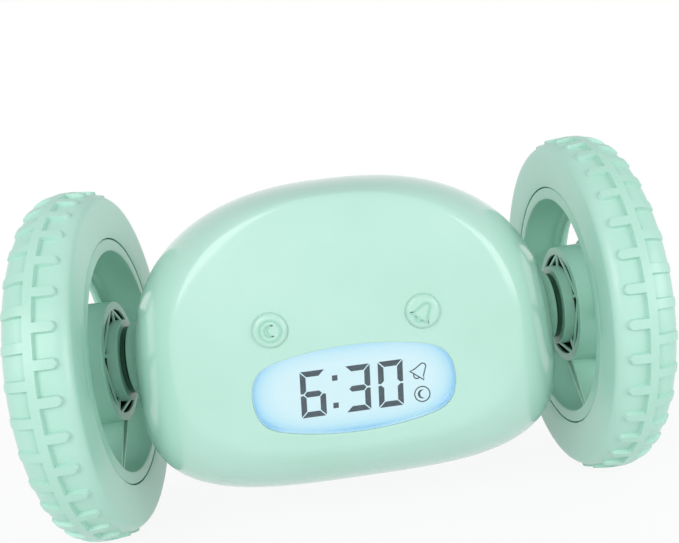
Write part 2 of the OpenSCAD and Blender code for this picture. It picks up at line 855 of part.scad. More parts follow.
module tyre(side) {
    lug_w = 2.35;
    lug_phase = 1;
    color(MINT) on_side(side) {
        rotate_extrude($fn = WHEEL_FN) difference() {
            polygon(both(tyre_outer, tyre_inner));
            polygon(both(cavity_half, cavity_half));
        }
        rotate_extrude($fn = WHEEL_FN)
            polygon(both([[tread_r - 1, band_half], [wheel_r, band_half]],
                [[tread_r - 1, band_half], [wheel_r, band_half]]));
        intersection() {
            rotate_extrude($fn = WHEEL_FN)
                polygon(both([[40.5, 6.3], [41.7, 6.3], [42.7, 5.4], [43.6, 4.2], [44.2, 2.6],
                    [wheel_r, band_half - 0.1]],
                    [[40.5, 5.45], [43.6, 5.45], [44, 4.2], [44.3, 2.6], [wheel_r, band_half - 0.1]]));
            for (s = [-1, 1], i = [0 : lug_count - 1])
                rotate(360 / lug_count * (i + (s > 0 ? 0.5 : 0)) - lug_phase)
                    translate([38, -lug_w / 2, track_half + (s > 0 ? 0.5 : -far)]) cube([10, lug_w, far - 0.5]);
        }
    }
}

module hub_cap(side) {
    color(MINT) on_side(side) rotate_extrude($fn = ROUND)
        polygon([[0, rim_x1 - 0.6], [cap_r, rim_x1 - 0.6], [cap_r, rim_x1 + 0.1], [cap_r - 1.5, rim_x1 + 0.6],
            [0, rim_x1 + 0.6]]);
}

module wheel_screw(side) {
    color(STEEL) on_side(side) {
        rod(0.9, axle_x1 - 10, hub_seat_x, 0, 0, SMALL);
        rod(3, hub_seat_x, hub_seat_x + 1.4, 0, 0, SMALL);
    }
}

front_shell();
rear_shell();
battery_door();
battery_door_screw();
case_screws();
display_lens();
lcd_frame();
lcd_glass();
backlight_guide();
main_board();
board_screws();
button_switches();
snooze_button();
alarm_button();
set_board();
set_switches();
hour_button();
minute_button();
clock_set_button();
alarm_set_button();
wheel_switch();
wheel_switch_knob();
speaker_frame();
speaker_cone();
battery_box();
batteries();
battery_contacts();
motor(LEFT);  // motor_left
motor(RIGHT);  // motor_right
motor_shaft(LEFT);  // motor_shaft_left
motor_shaft(RIGHT);  // motor_shaft_right
motor_pinion(LEFT);  // motor_pinion_left
motor_pinion(RIGHT);  // motor_pinion_right
idler_gear(LEFT);  // idler_gear_left
idler_gear(RIGHT);  // idler_gear_right
idler_pin(LEFT);  // idler_pin_left
idler_pin(RIGHT);  // idler_pin_right
output_gear(LEFT);  // output_gear_left
output_gear(RIGHT);  // output_gear_right
gearbox_case(LEFT);  // gearbox_case_left
gearbox_case(RIGHT);  // gearbox_case_right
gearbox_cover(LEFT);  // gearbox_cover_left
gearbox_cover(RIGHT);  // gearbox_cover_right
axle(LEFT);  // axle_left
axle(RIGHT);  // axle_right
axle_bush(LEFT);  // axle_bush_left
axle_bush(RIGHT);  // axle_bush_right
hub_washer(LEFT);  // hub_washer_left
hub_washer(RIGHT);  // hub_washer_right
rim(LEFT);  // rim_left
rim(RIGHT);  // rim_right
tyre(LEFT);  // tyre_left
tyre(RIGHT);  // tyre_right
hub_cap(LEFT);  // hub_cap_left
hub_cap(RIGHT);  // hub_cap_right
wheel_screw(LEFT);  // wheel_screw_left
wheel_screw(RIGHT);  // wheel_screw_right
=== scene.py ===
"""Looks of the alarm clock that hangs between two wheels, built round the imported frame.

Sizes below are in millimetres, measured from the middle of the wheel axis, and are turned into
the frame's metres where a mesh is made. Side is -1 for the left wheel and +1 for the right one.
"""

import math

import bmesh
import bpy
import numpy as np
from mathutils import Matrix, Vector


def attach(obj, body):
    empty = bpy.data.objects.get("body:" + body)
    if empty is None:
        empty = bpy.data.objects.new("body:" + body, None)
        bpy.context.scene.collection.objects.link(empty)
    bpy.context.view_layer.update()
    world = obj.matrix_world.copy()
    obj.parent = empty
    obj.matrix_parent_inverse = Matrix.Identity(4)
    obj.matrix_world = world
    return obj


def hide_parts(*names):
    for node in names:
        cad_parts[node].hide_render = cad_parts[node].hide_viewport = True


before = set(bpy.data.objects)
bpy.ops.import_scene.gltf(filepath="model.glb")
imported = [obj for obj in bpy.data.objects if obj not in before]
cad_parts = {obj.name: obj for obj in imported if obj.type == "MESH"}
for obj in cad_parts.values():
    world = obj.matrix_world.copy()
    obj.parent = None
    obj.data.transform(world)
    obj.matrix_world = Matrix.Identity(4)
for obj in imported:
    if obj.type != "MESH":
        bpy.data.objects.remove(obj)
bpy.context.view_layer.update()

MM = 0.001
LEFT, RIGHT = -1, 1
SIDES = {LEFT: "left", RIGHT: "right"}
WHEEL_R = 44.5
AXLE = Vector((0, 0, WHEEL_R))

# ---------------------------------------------------------------- camera, floor and light

CAMERA_AT = (-3.864, -190.009, 31.718)
CAMERA_RIGHT = (0.98973, -0.08427, -0.11548)
CAMERA_UP = (0.12462, 0.11274, 0.98578)
CAMERA_FORWARD = (0.07005, 0.99004, -0.12209)
IMAGE_W, IMAGE_H = 679, 543
FOCAL_PX = 718.135
CENTRE_PX = (376.967, 296.708)
SENSOR_MM = 36


def make_camera():
    """Camera at the photograph's place, with its focal length and its off-centre optical axis."""
    data = bpy.data.cameras.new("camera")
    data.sensor_width = SENSOR_MM
    data.lens = FOCAL_PX * SENSOR_MM / IMAGE_W
    data.shift_x = (IMAGE_W / 2 - CENTRE_PX[0]) / IMAGE_W
    data.shift_y = (CENTRE_PX[1] - IMAGE_H / 2) / IMAGE_W
    data.clip_start = 0.01
    data.clip_end = 20
    camera = bpy.data.objects.new("camera", data)
    bpy.context.scene.collection.objects.link(camera)
    back = -Vector(CAMERA_FORWARD)
    turn = Matrix((CAMERA_RIGHT, CAMERA_UP, back)).transposed().to_4x4()
    camera.matrix_world = Matrix.Translation((Vector(CAMERA_AT) + AXLE) * MM) @ turn
    bpy.context.scene.camera = camera


def seen_directly(nodes):
    """1 for rays from the camera, off gloss or through glass, else 0."""
    path = nodes.new("ShaderNodeLightPath")
    first = nodes.new("ShaderNodeMath")
    first.operation = "MAXIMUM"
    second = nodes.new("ShaderNodeMath")
    second.operation = "MAXIMUM"
    links = first.id_data.links
    links.new(path.outputs["Is Camera Ray"], first.inputs[0])
    links.new(path.outputs["Is Glossy Ray"], first.inputs[1])
    links.new(first.outputs[0], second.inputs[0])
    links.new(path.outputs["Is Transmission Ray"], second.inputs[1])
    return path.outputs["Is Camera Ray"], second.outputs[0]


WORLD_LIGHT = 0.62
GLOSS_ABOVE = 0.4


def make_world():
    """White behind the object, a pale studio in its reflections, a plain soft light for the rest."""
    world = bpy.data.worlds.new("studio")
    bpy.context.scene.world = world
    world.use_nodes = True
    nodes, links = world.node_tree.nodes, world.node_tree.links
    nodes.clear()
    out = nodes.new("ShaderNodeOutputWorld")
    coords = nodes.new("ShaderNodeTexCoord")
    parts = nodes.new("ShaderNodeSeparateXYZ")
    links.new(coords.outputs["Generated"], parts.inputs[0])
    height = nodes.new("ShaderNodeMapRange")
    height.inputs["From Min"].default_value = 0.1
    height.inputs["From Max"].default_value = 0.65
    height.inputs["To Min"].default_value = 1.0
    height.inputs["To Max"].default_value = GLOSS_ABOVE
    links.new(parts.outputs["Z"], height.inputs["Value"])
    camera_ray, direct = seen_directly(nodes)
    strength = nodes.new("ShaderNodeMath")
    strength.operation = "MAXIMUM"
    links.new(camera_ray, strength.inputs[0])
    links.new(height.outputs["Result"], strength.inputs[1])
    white = nodes.new("ShaderNodeBackground")
    white.inputs["Color"].default_value = (1, 1, 1, 1)
    links.new(strength.outputs[0], white.inputs["Strength"])
    soft = nodes.new("ShaderNodeBackground")
    soft.inputs["Color"].default_value = (0.97, 0.99, 1, 1)
    soft.inputs["Strength"].default_value = WORLD_LIGHT
    mix = nodes.new("ShaderNodeMixShader")
    links.new(direct, mix.inputs[0])
    links.new(soft.outputs[0], mix.inputs[1])
    links.new(white.outputs[0], mix.inputs[2])
    links.new(mix.outputs[0], out.inputs[0])


FLOOR_NEAR, FLOOR_FAR = 0.9, 1.0
FLOOR_FADE = (0.14, 0.6)


def make_floor():
    """Plain pale floor that keeps a faint shadow near the object and runs out into the white."""
    half = 3.0
    mesh = bpy.data.meshes.new("floor")
    corners = [(-half, -half, 0), (half, -half, 0), (half, half, 0), (-half, half, 0)]
    mesh.from_pydata(corners, [], [(0, 1, 2, 3)])
    floor = bpy.data.objects.new("floor", mesh)
    bpy.context.scene.collection.objects.link(floor)
    material = bpy.data.materials.new("floor_white")
    material.use_nodes = True
    nodes, links = material.node_tree.nodes, material.node_tree.links
    nodes.clear()
    out = nodes.new("ShaderNodeOutputMaterial")
    paint = nodes.new("ShaderNodeBsdfDiffuse")
    paint.inputs["Color"].default_value = (0.86, 0.87, 0.87, 1)
    glow = nodes.new("ShaderNodeEmission")
    glow.inputs["Color"].default_value = (1, 1, 1, 1)
    coords = nodes.new("ShaderNodeTexCoord")
    away = nodes.new("ShaderNodeVectorMath")
    away.operation = "LENGTH"
    links.new(coords.outputs["Object"], away.inputs[0])
    fade = nodes.new("ShaderNodeMapRange")
    fade.interpolation_type = "SMOOTHSTEP"
    fade.inputs["From Min"].default_value = FLOOR_FADE[0]
    fade.inputs["From Max"].default_value = FLOOR_FADE[1]
    fade.inputs["To Min"].default_value = FLOOR_NEAR
    fade.inputs["To Max"].default_value = FLOOR_FAR
    links.new(away.outputs["Value"], fade.inputs["Value"])
    share = nodes.new("ShaderNodeMath")
    share.operation = "MULTIPLY"
    _, direct = seen_directly(nodes)
    links.new(direct, share.inputs[0])
    links.new(fade.outputs["Result"], share.inputs[1])
    mix = nodes.new("ShaderNodeMixShader")
    links.new(share.outputs[0], mix.inputs[0])
    links.new(paint.outputs[0], mix.inputs[1])
    links.new(glow.outputs[0], mix.inputs[2])
    links.new(mix.outputs[0], out.inputs[0])
    mesh.materials.append(material)


def area_light(name, at, target, size, power):
    """Square soft box that looks at a point; places in metres."""
    data = bpy.data.lights.new(name, "AREA")
    data.shape = "SQUARE"
    data.size = size
    data.energy = power
    lamp = bpy.data.objects.new(name, data)
    bpy.context.scene.collection.objects.link(lamp)
    lamp.location = at
    lamp.rotation_euler = (Vector(target) - Vector(at)).to_track_quat("-Z", "Y").to_euler()


def make_lights():
    area_light("key", (-0.55, -0.9, 0.5), (0, 0, 0.04), 0.7, 4.6)
    area_light("fill", (0.75, -0.75, 0.2), (0, 0, 0.04), 0.6, 3.2)


# ---------------------------------------------------------------- materials

def rgb(hex_colour):
    """Linear colour of an sRGB hex code."""
    parts = [int(hex_colour[i:i + 2], 16) / 255 for i in (0, 2, 4)]
    return tuple(p / 12.92 if p <= 0.04045 else ((p + 0.055) / 1.055) ** 2.4 for p in parts)


def new_material(name):
    """A fresh material with its nodes, links and main shader."""
    material = bpy.data.materials.new(name)
    material.use_nodes = True
    nodes = material.node_tree.nodes
    return material, nodes, material.node_tree.links, nodes["Principled BSDF"]


def noise(nodes, links, scale, detail=3.0):
    """Noise in the object's own millimetres."""
    coords = nodes.new("ShaderNodeTexCoord")
    texture = nodes.new("ShaderNodeTexNoise")
    texture.inputs["Scale"].default_value = scale / MM
    texture.inputs["Detail"].default_value = detail
    links.new(coords.outputs["Object"], texture.inputs["Vector"])
    return texture.outputs["Fac"]


def tinted(nodes, links, shader, factor, low, high):
    """Base colour that wanders between two near shades."""
    ramp = nodes.new("ShaderNodeValToRGB")
    ramp.color_ramp.elements[0].position = 0.3
    ramp.color_ramp.elements[1].position = 0.7
    ramp.color_ramp.elements[0].color = (*low, 1)
    ramp.color_ramp.elements[1].color = (*high, 1)
    links.new(factor, ramp.inputs[0])
    links.new(ramp.outputs[0], shader.inputs["Base Color"])


def ranged(nodes, links, factor, low, high, socket):
    """A number that wanders between low and high."""
    span = nodes.new("ShaderNodeMapRange")
    span.inputs["To Min"].default_value = low
    span.inputs["To Max"].default_value = high
    links.new(factor, span.inputs["Value"])
    links.new(span.outputs["Result"], socket)


def bumped(nodes, links, shader, height, depth_mm):
    """Surface relief of that depth."""
    bump = nodes.new("ShaderNodeBump")
    bump.inputs["Strength"].default_value = 1.0
    bump.inputs["Distance"].default_value = depth_mm * MM
    links.new(height, bump.inputs["Height"])
    links.new(bump.outputs["Normal"], shader.inputs["Normal"])


def plastic(name, dark, light, rough, grain_scale, grain_depth, coat=0.0):
    """Moulded plastic: slow colour drift, uneven gloss and a fine skin texture."""
    material, nodes, links, shader = new_material(name)
    tinted(nodes, links, shader, noise(nodes, links, 0.03), rgb(dark), rgb(light))
    ranged(nodes, links, noise(nodes, links, 0.12), rough[0], rough[1], shader.inputs["Roughness"])
    bumped(nodes, links, shader, noise(nodes, links, grain_scale, 5), grain_depth)
    shader.inputs["Coat Weight"].default_value = coat
    shader.inputs["Coat Roughness"].default_value = 0.06
    shader.inputs["Specular IOR Level"].default_value = 0.5
    return material


def metal(name, colour, rough):
    """Turned or plated metal with fine brushing."""
    material, nodes, links, shader = new_material(name)
    shader.inputs["Metallic"].default_value = 1
    darker = tuple(c * 0.85 for c in rgb(colour))
    tinted(nodes, links, shader, noise(nodes, links, 0.4), rgb(colour), darker)
    brushing = noise(nodes, links, 2.0, 6)
    ranged(nodes, links, brushing, rough * 0.7, rough * 1.4, shader.inputs["Roughness"])
    bumped(nodes, links, shader, noise(nodes, links, 3.0, 6), 0.01)
    return material


def glass_clear(name):
    """Polished clear window, with the faintest moulding ripple."""
    material, nodes, links, shader = new_material(name)
    shader.inputs["Base Color"].default_value = (0.97, 0.995, 1, 1)
    shader.inputs["Transmission Weight"].default_value = 1
    shader.inputs["IOR"].default_value = 1.3
    ranged(nodes, links, noise(nodes, links, 0.5), 0.0, 0.03, shader.inputs["Roughness"])
    return material


WINDOW_W = 45.6
WINDOW_H = 20.0
WINDOW_Z = -7.3
WINDOW_TAPER = 0.35
WINDOW_END_N = 14
GLOW_END_N = 4.2


def window_distance(nodes, links):
    """0 in the middle of the display window, 1 on its outline, as the outline's own norm."""
    coords = nodes.new("ShaderNodeTexCoord")
    parts = nodes.new("ShaderNodeSeparateXYZ")
    links.new(coords.outputs["Object"], parts.inputs[0])
    terms = []
    for axis, centre, half, power in (("X", 0, WINDOW_W / 2, GLOW_END_N),
                                      ("Z", WHEEL_R + WINDOW_Z, WINDOW_H / 2, 2)):
        shift = nodes.new("ShaderNodeMath")
        shift.operation = "SUBTRACT"
        shift.inputs[1].default_value = centre * MM
        links.new(parts.outputs[axis], shift.inputs[0])
        size = nodes.new("ShaderNodeMath")
        size.operation = "ABSOLUTE"
        links.new(shift.outputs[0], size.inputs[0])
        part = nodes.new("ShaderNodeMath")
        part.operation = "DIVIDE"
        part.inputs[1].default_value = half * MM
        links.new(size.outputs[0], part.inputs[0])
        raised = nodes.new("ShaderNodeMath")
        raised.operation = "POWER"
        raised.inputs[1].default_value = power
        links.new(part.outputs[0], raised.inputs[0])
        terms.append(raised.outputs[0])
    total = nodes.new("ShaderNodeMath")
    total.operation = "ADD"
    links.new(terms[0], total.inputs[0])
    links.new(terms[1], total.inputs[1])
    return total.outputs[0]


def lcd_glow():
    """Lit LCD: near white in the middle, pale blue toward the outline, bluer at its edge."""
    material, nodes, links, shader = new_material("lcd_glow")
    ramp = nodes.new("ShaderNodeValToRGB")
    stops = ((0.0, "daf6fd"), (0.3, "d9f6fe"), (0.62, "cbf1fd"), (0.85, "b4e6fc"), (1.0, "93d0f6"))
    marks = ramp.color_ramp.elements
    while len(marks) < len(stops):
        marks.new(0.5)
    for mark, (place, colour) in zip(marks, stops):
        mark.position = place
        mark.color = (*rgb(colour), 1)
    links.new(window_distance(nodes, links), ramp.inputs[0])
    links.new(ramp.outputs[0], shader.inputs["Emission Color"])
    shader.inputs["Emission Strength"].default_value = 0.92
    shader.inputs["Base Color"].default_value = (0.02, 0.03, 0.03, 1)
    shader.inputs["Roughness"].default_value = 0.35
    return material


MINT_DARK, MINT_LIGHT = "b8e2d2", "bfe7d9"
TYRE_DARK, TYRE_LIGHT = "b3e0cf", "bae5d6"


def make_materials():
    return {
        "body": plastic("body_gloss", MINT_DARK, MINT_LIGHT, (0.14, 0.2), 0.8, 0.002, coat=0.15),
        "button": plastic("button_gloss", MINT_DARK, MINT_LIGHT, (0.22, 0.3), 1.0, 0.004, coat=0.1),
        # The button icons' lines are a darker green than the cap: painted shade, in place of the shade
        # along their low relief.
        "icon": plastic("button_line_painted_shade", "9fd4c1", "a7dac8", (0.3, 0.4), 1.0, 0.004),
        "tyre": plastic("tyre_soft", TYRE_DARK, TYRE_LIGHT, (0.26, 0.34), 2.5, 0.012),
        "rim": plastic("rim_satin", "a4d6c3", "acdccb", (0.26, 0.34), 1.6, 0.006),
        # Near black in the cup's deep hollows: painted shade, for the little light that gets in there.
        "pocket_shade": plastic("rim_pocket_painted_shade", "0e2a20", "133529", (0.5, 0.6), 1.6, 0.006),
        # Dark green on the hub washers and axle bushes: painted shade, for the dim gap between the side
        # boss and the hub.
        "dark": plastic("nylon_painted_shade", "1d4a3a", "235541", (0.35, 0.5), 2.0, 0.01),
        "black": plastic("black_nylon", "141817", "1d2322", (0.35, 0.5), 2.0, 0.01),
        "grey": plastic("grey_abs", "4c5755", "56625f", (0.45, 0.6), 1.6, 0.01),
        "white": plastic("white_abs", "e6e6e0", "f0f0ea", (0.4, 0.5), 1.6, 0.006),
        "acetal": plastic("acetal", "dcd8c8", "e6e2d4", (0.3, 0.4), 1.6, 0.004),
        "board": plastic("solder_mask", "1e6b41", "24784a", (0.25, 0.4), 3.0, 0.01),
        "ink": plastic("lcd_ink", "44555f", "4a5c66", (0.4, 0.5), 2.0, 0.002),
        "sleeve": plastic("cell_sleeve", "3c4347", "464e52", (0.2, 0.35), 0.6, 0.01),
        "cone": plastic("paper_cone", "1b1b1c", "262627", (0.7, 0.9), 4.0, 0.02),
        "steel": metal("plated_steel", "c4c6c8", 0.3),
        "lens": glass_clear("window_clear"),
        "lcd": lcd_glow(),
    }


# ---------------------------------------------------------------- mesh helpers

def add_mesh(name, points, faces, smooth_angle=35):
    """Mesh from points in millimetres about the axle, shaded smooth up to an angle."""
    mesh = bpy.data.meshes.new(name)
    shifted = (np.asarray(points, float) + np.array(AXLE)) * MM
    mesh.from_pydata(shifted.tolist(), [], [list(map(int, f)) for f in faces])
    mesh.update()
    build = bmesh.new()
    build.from_mesh(mesh)
    bmesh.ops.recalc_face_normals(build, faces=build.faces)
    build.to_mesh(mesh)
    build.free()
    mesh.shade_smooth()
    mesh.set_sharp_from_angle(angle=math.radians(smooth_angle))
    piece = bpy.data.objects.new(name, mesh)
    bpy.context.scene.collection.objects.link(piece)
    return piece


def loft_faces(rows, columns, close_rows=False):
    """Quads between rings of equal length, each ring closed on itself."""
    faces = []
    for r in range(rows if close_rows else rows - 1):
        q = (r + 1) % rows
        for c in range(columns):
            d = (c + 1) % columns
            faces.append((r * columns + c, r * columns + d, q * columns + d, q * columns + c))
    return faces


def rounded(corners, radius, steps=4):
    """Closed outline with each corner turned into an arc of about that radius."""
    points = [np.array(p, float) for p in corners]
    out = []
    for i, p in enumerate(points):
        a, b = points[i - 1], points[(i + 1) % len(points)]
        cut_a = min(radius, np.linalg.norm(a - p) * 0.45)
        cut_b = min(radius, np.linalg.norm(b - p) * 0.45)
        start = p + (a - p) / np.linalg.norm(a - p) * cut_a
        end = p + (b - p) / np.linalg.norm(b - p) * cut_b
        for k in range(steps + 1):
            t = k / steps
            out.append((1 - t) ** 2 * start + 2 * t * (1 - t) * p + t * t * end)
    return np.array(out)


def spin(profile, side, segments=192):
    """Rings of a closed outline of (radius, x) turned about the wheel axis, and their faces."""
    turn = np.linspace(0, 2 * math.pi, segments, endpoint=False)
    points = []
    for t in turn:
        for r, x in profile:
            points.append((side * x, -r * math.cos(t), r * math.sin(t)))
    return points, loft_faces(segments, len(profile), close_rows=True)


def prism(outline, side, *places):
    """A closed outline of (y, z) made solid along the wheel axis, with a ring at each place."""
    places = sorted(places)
    n = len(outline)
    points = [(side * x, y, z) for x in places for y, z in outline]
    faces = loft_faces(len(places), n)
    return points, faces + [tuple(range(n)), tuple(range((len(places) - 1) * n, len(places) * n))]


def spin_y(profile, x, z, segments=96):
    """Rings of a closed outline of (radius, y) turned about a line along Y, and their faces."""
    points = []
    for t in np.linspace(0, 2 * math.pi, segments, endpoint=False):
        for r, y in profile:
            points.append((x + r * math.cos(t), y, z + r * math.sin(t)))
    return points, loft_faces(segments, len(profile), close_rows=True)


def capped_y(profile, x, z, segments=96):
    """An open outline of (radius, y) from the axis back to the axis, turned about a line along Y."""
    ring = profile[1:-1]
    points = [(x, profile[0][1], z), (x, profile[-1][1], z)]
    turn = np.linspace(0, 2 * math.pi, segments, endpoint=False)
    for r, y in ring:
        points += [(x + r * math.cos(t), y, z + r * math.sin(t)) for t in turn]
    faces = [tuple(i + 2 for i in f) for f in loft_faces(len(ring), segments)]
    last = 2 + (len(ring) - 1) * segments
    for c in range(segments):
        d = (c + 1) % segments
        faces.append((0, 2 + d, 2 + c))
        faces.append((1, last + c, last + d))
    return points, faces


def merge(*parts):
    """Several (points, faces) as one."""
    points, faces = [], []
    for part_points, part_faces in parts:
        base = len(points)
        points += [tuple(p) for p in part_points]
        faces += [tuple(base + i for i in f) for f in part_faces]
    return points, faces


def bevel(piece, width_mm, segments=2, angle=40):
    """Rounded edges where faces meet at more than that angle, made part of the mesh."""
    modifier = piece.modifiers.new("edges", "BEVEL")
    modifier.width = width_mm * MM
    modifier.segments = segments
    modifier.limit_method = "ANGLE"
    modifier.angle_limit = math.radians(angle)


def cut(piece, cutter, operation="DIFFERENCE"):
    """Boolean with a cutter that is then thrown away."""
    modifier = piece.modifiers.new("cut", "BOOLEAN")
    modifier.object = cutter
    modifier.operation = operation
    modifier.solver = "EXACT"
    bpy.context.view_layer.update()
    done = bpy.data.meshes.new_from_object(piece.evaluated_get(bpy.context.evaluated_depsgraph_get()))
    piece.modifiers.remove(modifier)
    piece.data = done
    bpy.data.objects.remove(cutter)


def darken(piece, material, dark, inside):
    """Two materials: the second, darker one, painted shade, where a face's middle, in millimetres about
    the axle, passes.
    """
    piece.data.materials.append(material)
    piece.data.materials.append(dark)
    for face in piece.data.polygons:
        if inside(face.center / MM - AXLE):
            face.material_index = 1


def finish_piece(piece, body, slot, material, *nodes):
    """Dress a piece, let it ride on a body and stand for its CAD nodes."""
    if not piece.data.materials:
        piece.data.materials.append(material)
    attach(piece, body)
    if nodes:
        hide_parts(*nodes)
    return piece


# ---------------------------------------------------------------- body surface

BODY = {"a": 53.6, "top": 45.6, "bottom": 31.5, "zc": -5.0, "top_n": 2.42, "bottom_n": 3.5}
FACE = {"a": 38.5, "top": 33.3, "bottom": 23.2, "zc": 2.2, "top_n": 2.23, "bottom_n": 2.88}
FRONT_DEPTH = 33.0
REAR_DEPTH = 27.0
DOME = 1.6
WALL = 2.2
SEAM_LAND = 2.0
FLANK_END = 72.0
RING_POINTS = 220


def power(c, e):
    """A signed power, for superellipses."""
    return np.sign(c) * np.abs(c) ** e


def ring(t, f, inset, spread):
    """Closed loop in x and z of the section that is t of the way from face to seam, drawn in by f."""
    size = {k: FACE[k] + (BODY[k] - FACE[k]) * t for k in BODY}
    a = np.linspace(0, 2 * math.pi, 2881)
    up = a <= math.pi
    n = np.where(up, size["top_n"], size["bottom_n"])
    half = np.where(up, size["top"], size["bottom"]) - inset
    x = f * (size["a"] - inset) * power(np.cos(a), 2 / n)
    z = size["zc"] + f * half * power(np.sin(a), 2 / n)
    length = np.concatenate([[0], np.cumsum(np.hypot(np.diff(x), np.diff(z)))])
    want = np.linspace(0, length[-1], spread, endpoint=False)
    return np.interp(want, length, x), np.interp(want, length, z)


def flank_place(angle, depth, inset):
    """Depth and section share at an angle on the flank's quarter ellipse."""
    reach = (depth - SEAM_LAND - inset) / math.sin(math.radians(FLANK_END))
    end = math.cos(math.radians(FLANK_END))
    share = (math.cos(math.radians(angle)) - end) / (1 - end)
    return SEAM_LAND + reach * math.sin(math.radians(angle)), share


def dome_height(x, z, f):
    """How far the face or back bulges at a place, from 0 on its edge to DOME in its middle."""
    half = np.where(z > FACE["zc"], FACE["top"], FACE["bottom"])
    smooth = (x / FACE["a"]) ** 2 + ((z - FACE["zc"]) / half) ** 2
    share = np.clip((f - 0.25) / 0.7, 0, 1)
    share = share * share * (3 - 2 * share)
    return DOME * (1 - (smooth * (1 - share) + f * f * share))


def half_skin(depth, inset, spread, flank_steps, face_steps):
    """Rings of one half from the seam to the middle, toward +Y, with a soft edge round the face."""
    rings = []
    x, z = ring(1, 1, inset, spread)
    for y in (0.0, SEAM_LAND * 0.5):
        rings.append(np.stack([x, np.full(spread, y), z], 1))
    soft_angle = FLANK_END - 3.0
    soft_f = 0.955
    for angle in np.linspace(0, soft_angle, flank_steps):
        y, share = flank_place(angle, depth, inset)
        x, z = ring(share, 1, inset, spread)
        rings.append(np.stack([x, np.full(spread, y), z], 1))
    edge_x, edge_z = ring(0, 1, inset, spread)
    edge = np.stack([edge_x, np.full(spread, depth - inset), edge_z], 1)

    def face_ring(f):
        x, z = ring(0, f, inset, spread)
        return np.stack([x, depth - inset + dome_height(x, z, np.full(spread, f)), z], 1)

    start, end = rings[-1], face_ring(soft_f)
    for t in np.linspace(0, 1, 8)[1:-1]:
        rings.append((1 - t) ** 2 * start + 2 * t * (1 - t) * edge + t * t * end)
    for f in np.linspace(soft_f, 0.03, face_steps):
        rings.append(face_ring(f))
    return rings


def half_shell(name, depth, front):
    """Closed shell of one half of the body, open toward the seam."""
    outer = half_skin(depth, 0, RING_POINTS, 26, 30)
    inner = half_skin(depth, WALL, RING_POINTS, 8, 8)
    columns = RING_POINTS
    rings = outer[::-1] + inner
    points = np.concatenate(rings)
    faces = loft_faces(len(rings), columns)
    outer_pole = (0, depth + DOME, FACE["zc"])
    inner_pole = (0, depth - WALL + DOME, FACE["zc"])
    points = np.concatenate([points, [outer_pole, inner_pole]])
    last = (len(rings) - 1) * columns
    for c in range(columns):
        d = (c + 1) % columns
        faces.append((len(points) - 2, d, c))
        faces.append((len(points) - 1, last + c, last + d))
    if front:
        points = points * np.array([1, -1, 1])
    return add_mesh(name, points, faces, 50)


def skin_cutter(depth, inset):
    """A closed solid inside one half's outer surface, for trimming what lies in it."""
    rings = half_skin(depth, inset, RING_POINTS, 26, 30)
    points = np.concatenate(rings + [[(0, depth - inset + DOME, FACE["zc"])]])
    last = (len(rings) - 1) * RING_POINTS
    faces = loft_faces(len(rings), RING_POINTS) + [tuple(range(RING_POINTS))]
    for c in range(RING_POINTS):
        faces.append((len(points) - 1, last + c, last + (c + 1) % RING_POINTS))
    return add_mesh("cutter", points, faces)


def face_y(x, z, depth):
    """Distance of the face or back from the axle plane at a place inside its edge."""
    up = z > FACE["zc"]
    n = FACE["top_n"] if up else FACE["bottom_n"]
    half = FACE["top"] if up else FACE["bottom"]
    f = (abs(x / FACE["a"]) ** n + abs((z - FACE["zc"]) / half) ** n) ** (1 / n)
    return depth + float(dome_height(np.array([x]), np.array([z]), np.array([f]))[0])


def flared_cutter(outline, depth, reach, sign, flare=0.35):
    """Cutter for a hole along Y that rounds the hole's edge where it meets the domed surface."""
    centre = np.mean(outline, 0)
    levels = [(-reach, 0.0), (-flare, 0.0), (-flare * 0.6, flare * 0.08), (-flare * 0.25, flare * 0.35),
              (0.0, flare), (flare * 0.5, flare * 1.9), (3.0, flare * 4)]
    points = []
    n = len(outline)
    for above, grow in levels:
        for i, p in enumerate(outline):
            along = outline[(i + 1) % n] - outline[i - 1]
            normal = np.array([along[1], -along[0]]) / np.linalg.norm(along)
            if np.dot(normal, p - centre) < 0:
                normal = -normal
            q = p + normal * grow
            points.append((q[0], sign * (face_y(p[0], p[1], depth) + above), q[1]))
    faces = loft_faces(len(levels), n)
    faces += [tuple(range(n)), tuple(range((len(levels) - 1) * n, len(levels) * n))]
    return add_mesh("cutter", points, faces)


def circle_outline(x, z, r, n=64):
    a = np.linspace(0, 2 * math.pi, n, endpoint=False)
    return np.stack([x + r * np.cos(a), z + r * np.sin(a)], 1)


def window_outline(grow=0.0, n=180):
    """Barrel outline: arched above and below, with short rounded ends."""
    q = np.sin(math.pi / 2 * np.linspace(-1, 1, n // 2, endpoint=False))
    x = (WINDOW_W / 2 + grow) * q
    z = (WINDOW_H / 2 + grow) * (1 - WINDOW_TAPER * q * q) * np.sqrt(1 - np.abs(q) ** WINDOW_END_N)
    return np.stack([np.concatenate([x, -x]), WINDOW_Z + np.concatenate([z, -z])], 1)


# ---------------------------------------------------------------- front of the body

BUTTON_R = 3.9
BUTTON_X = 16.85
BUTTON_Z = 8.1
BUTTON_GAP = 0.015
BUTTON_FACE_Y = 35.35
BUTTON_ROUNDING = 0.02
BUTTON_WEB = 0.8
BUTTON_STEM_R = 1.6
BUTTON_LINE = 0.34
WINDOW_ROUNDING = 0.14
CUT_DEPTH = 6
LENS_SINK = 0.25
LENS_GAP = 0.06
LENS_BACK = 30.3
LCD_FRONT = 30.1


def make_front_shell(materials):
    shell = half_shell("front_shell_skin", FRONT_DEPTH, True)
    for x in (-BUTTON_X, BUTTON_X):
        hole = circle_outline(x, BUTTON_Z, BUTTON_R + BUTTON_GAP)
        cut(shell, flared_cutter(hole, FRONT_DEPTH, CUT_DEPTH, -1, BUTTON_ROUNDING))
    cut(shell, flared_cutter(window_outline(), FRONT_DEPTH, CUT_DEPTH, -1, WINDOW_ROUNDING))
    shell.data.set_sharp_from_angle(angle=math.radians(40))
    finish_piece(shell, "clock_body", "body_mint", materials["body"], "front_shell")


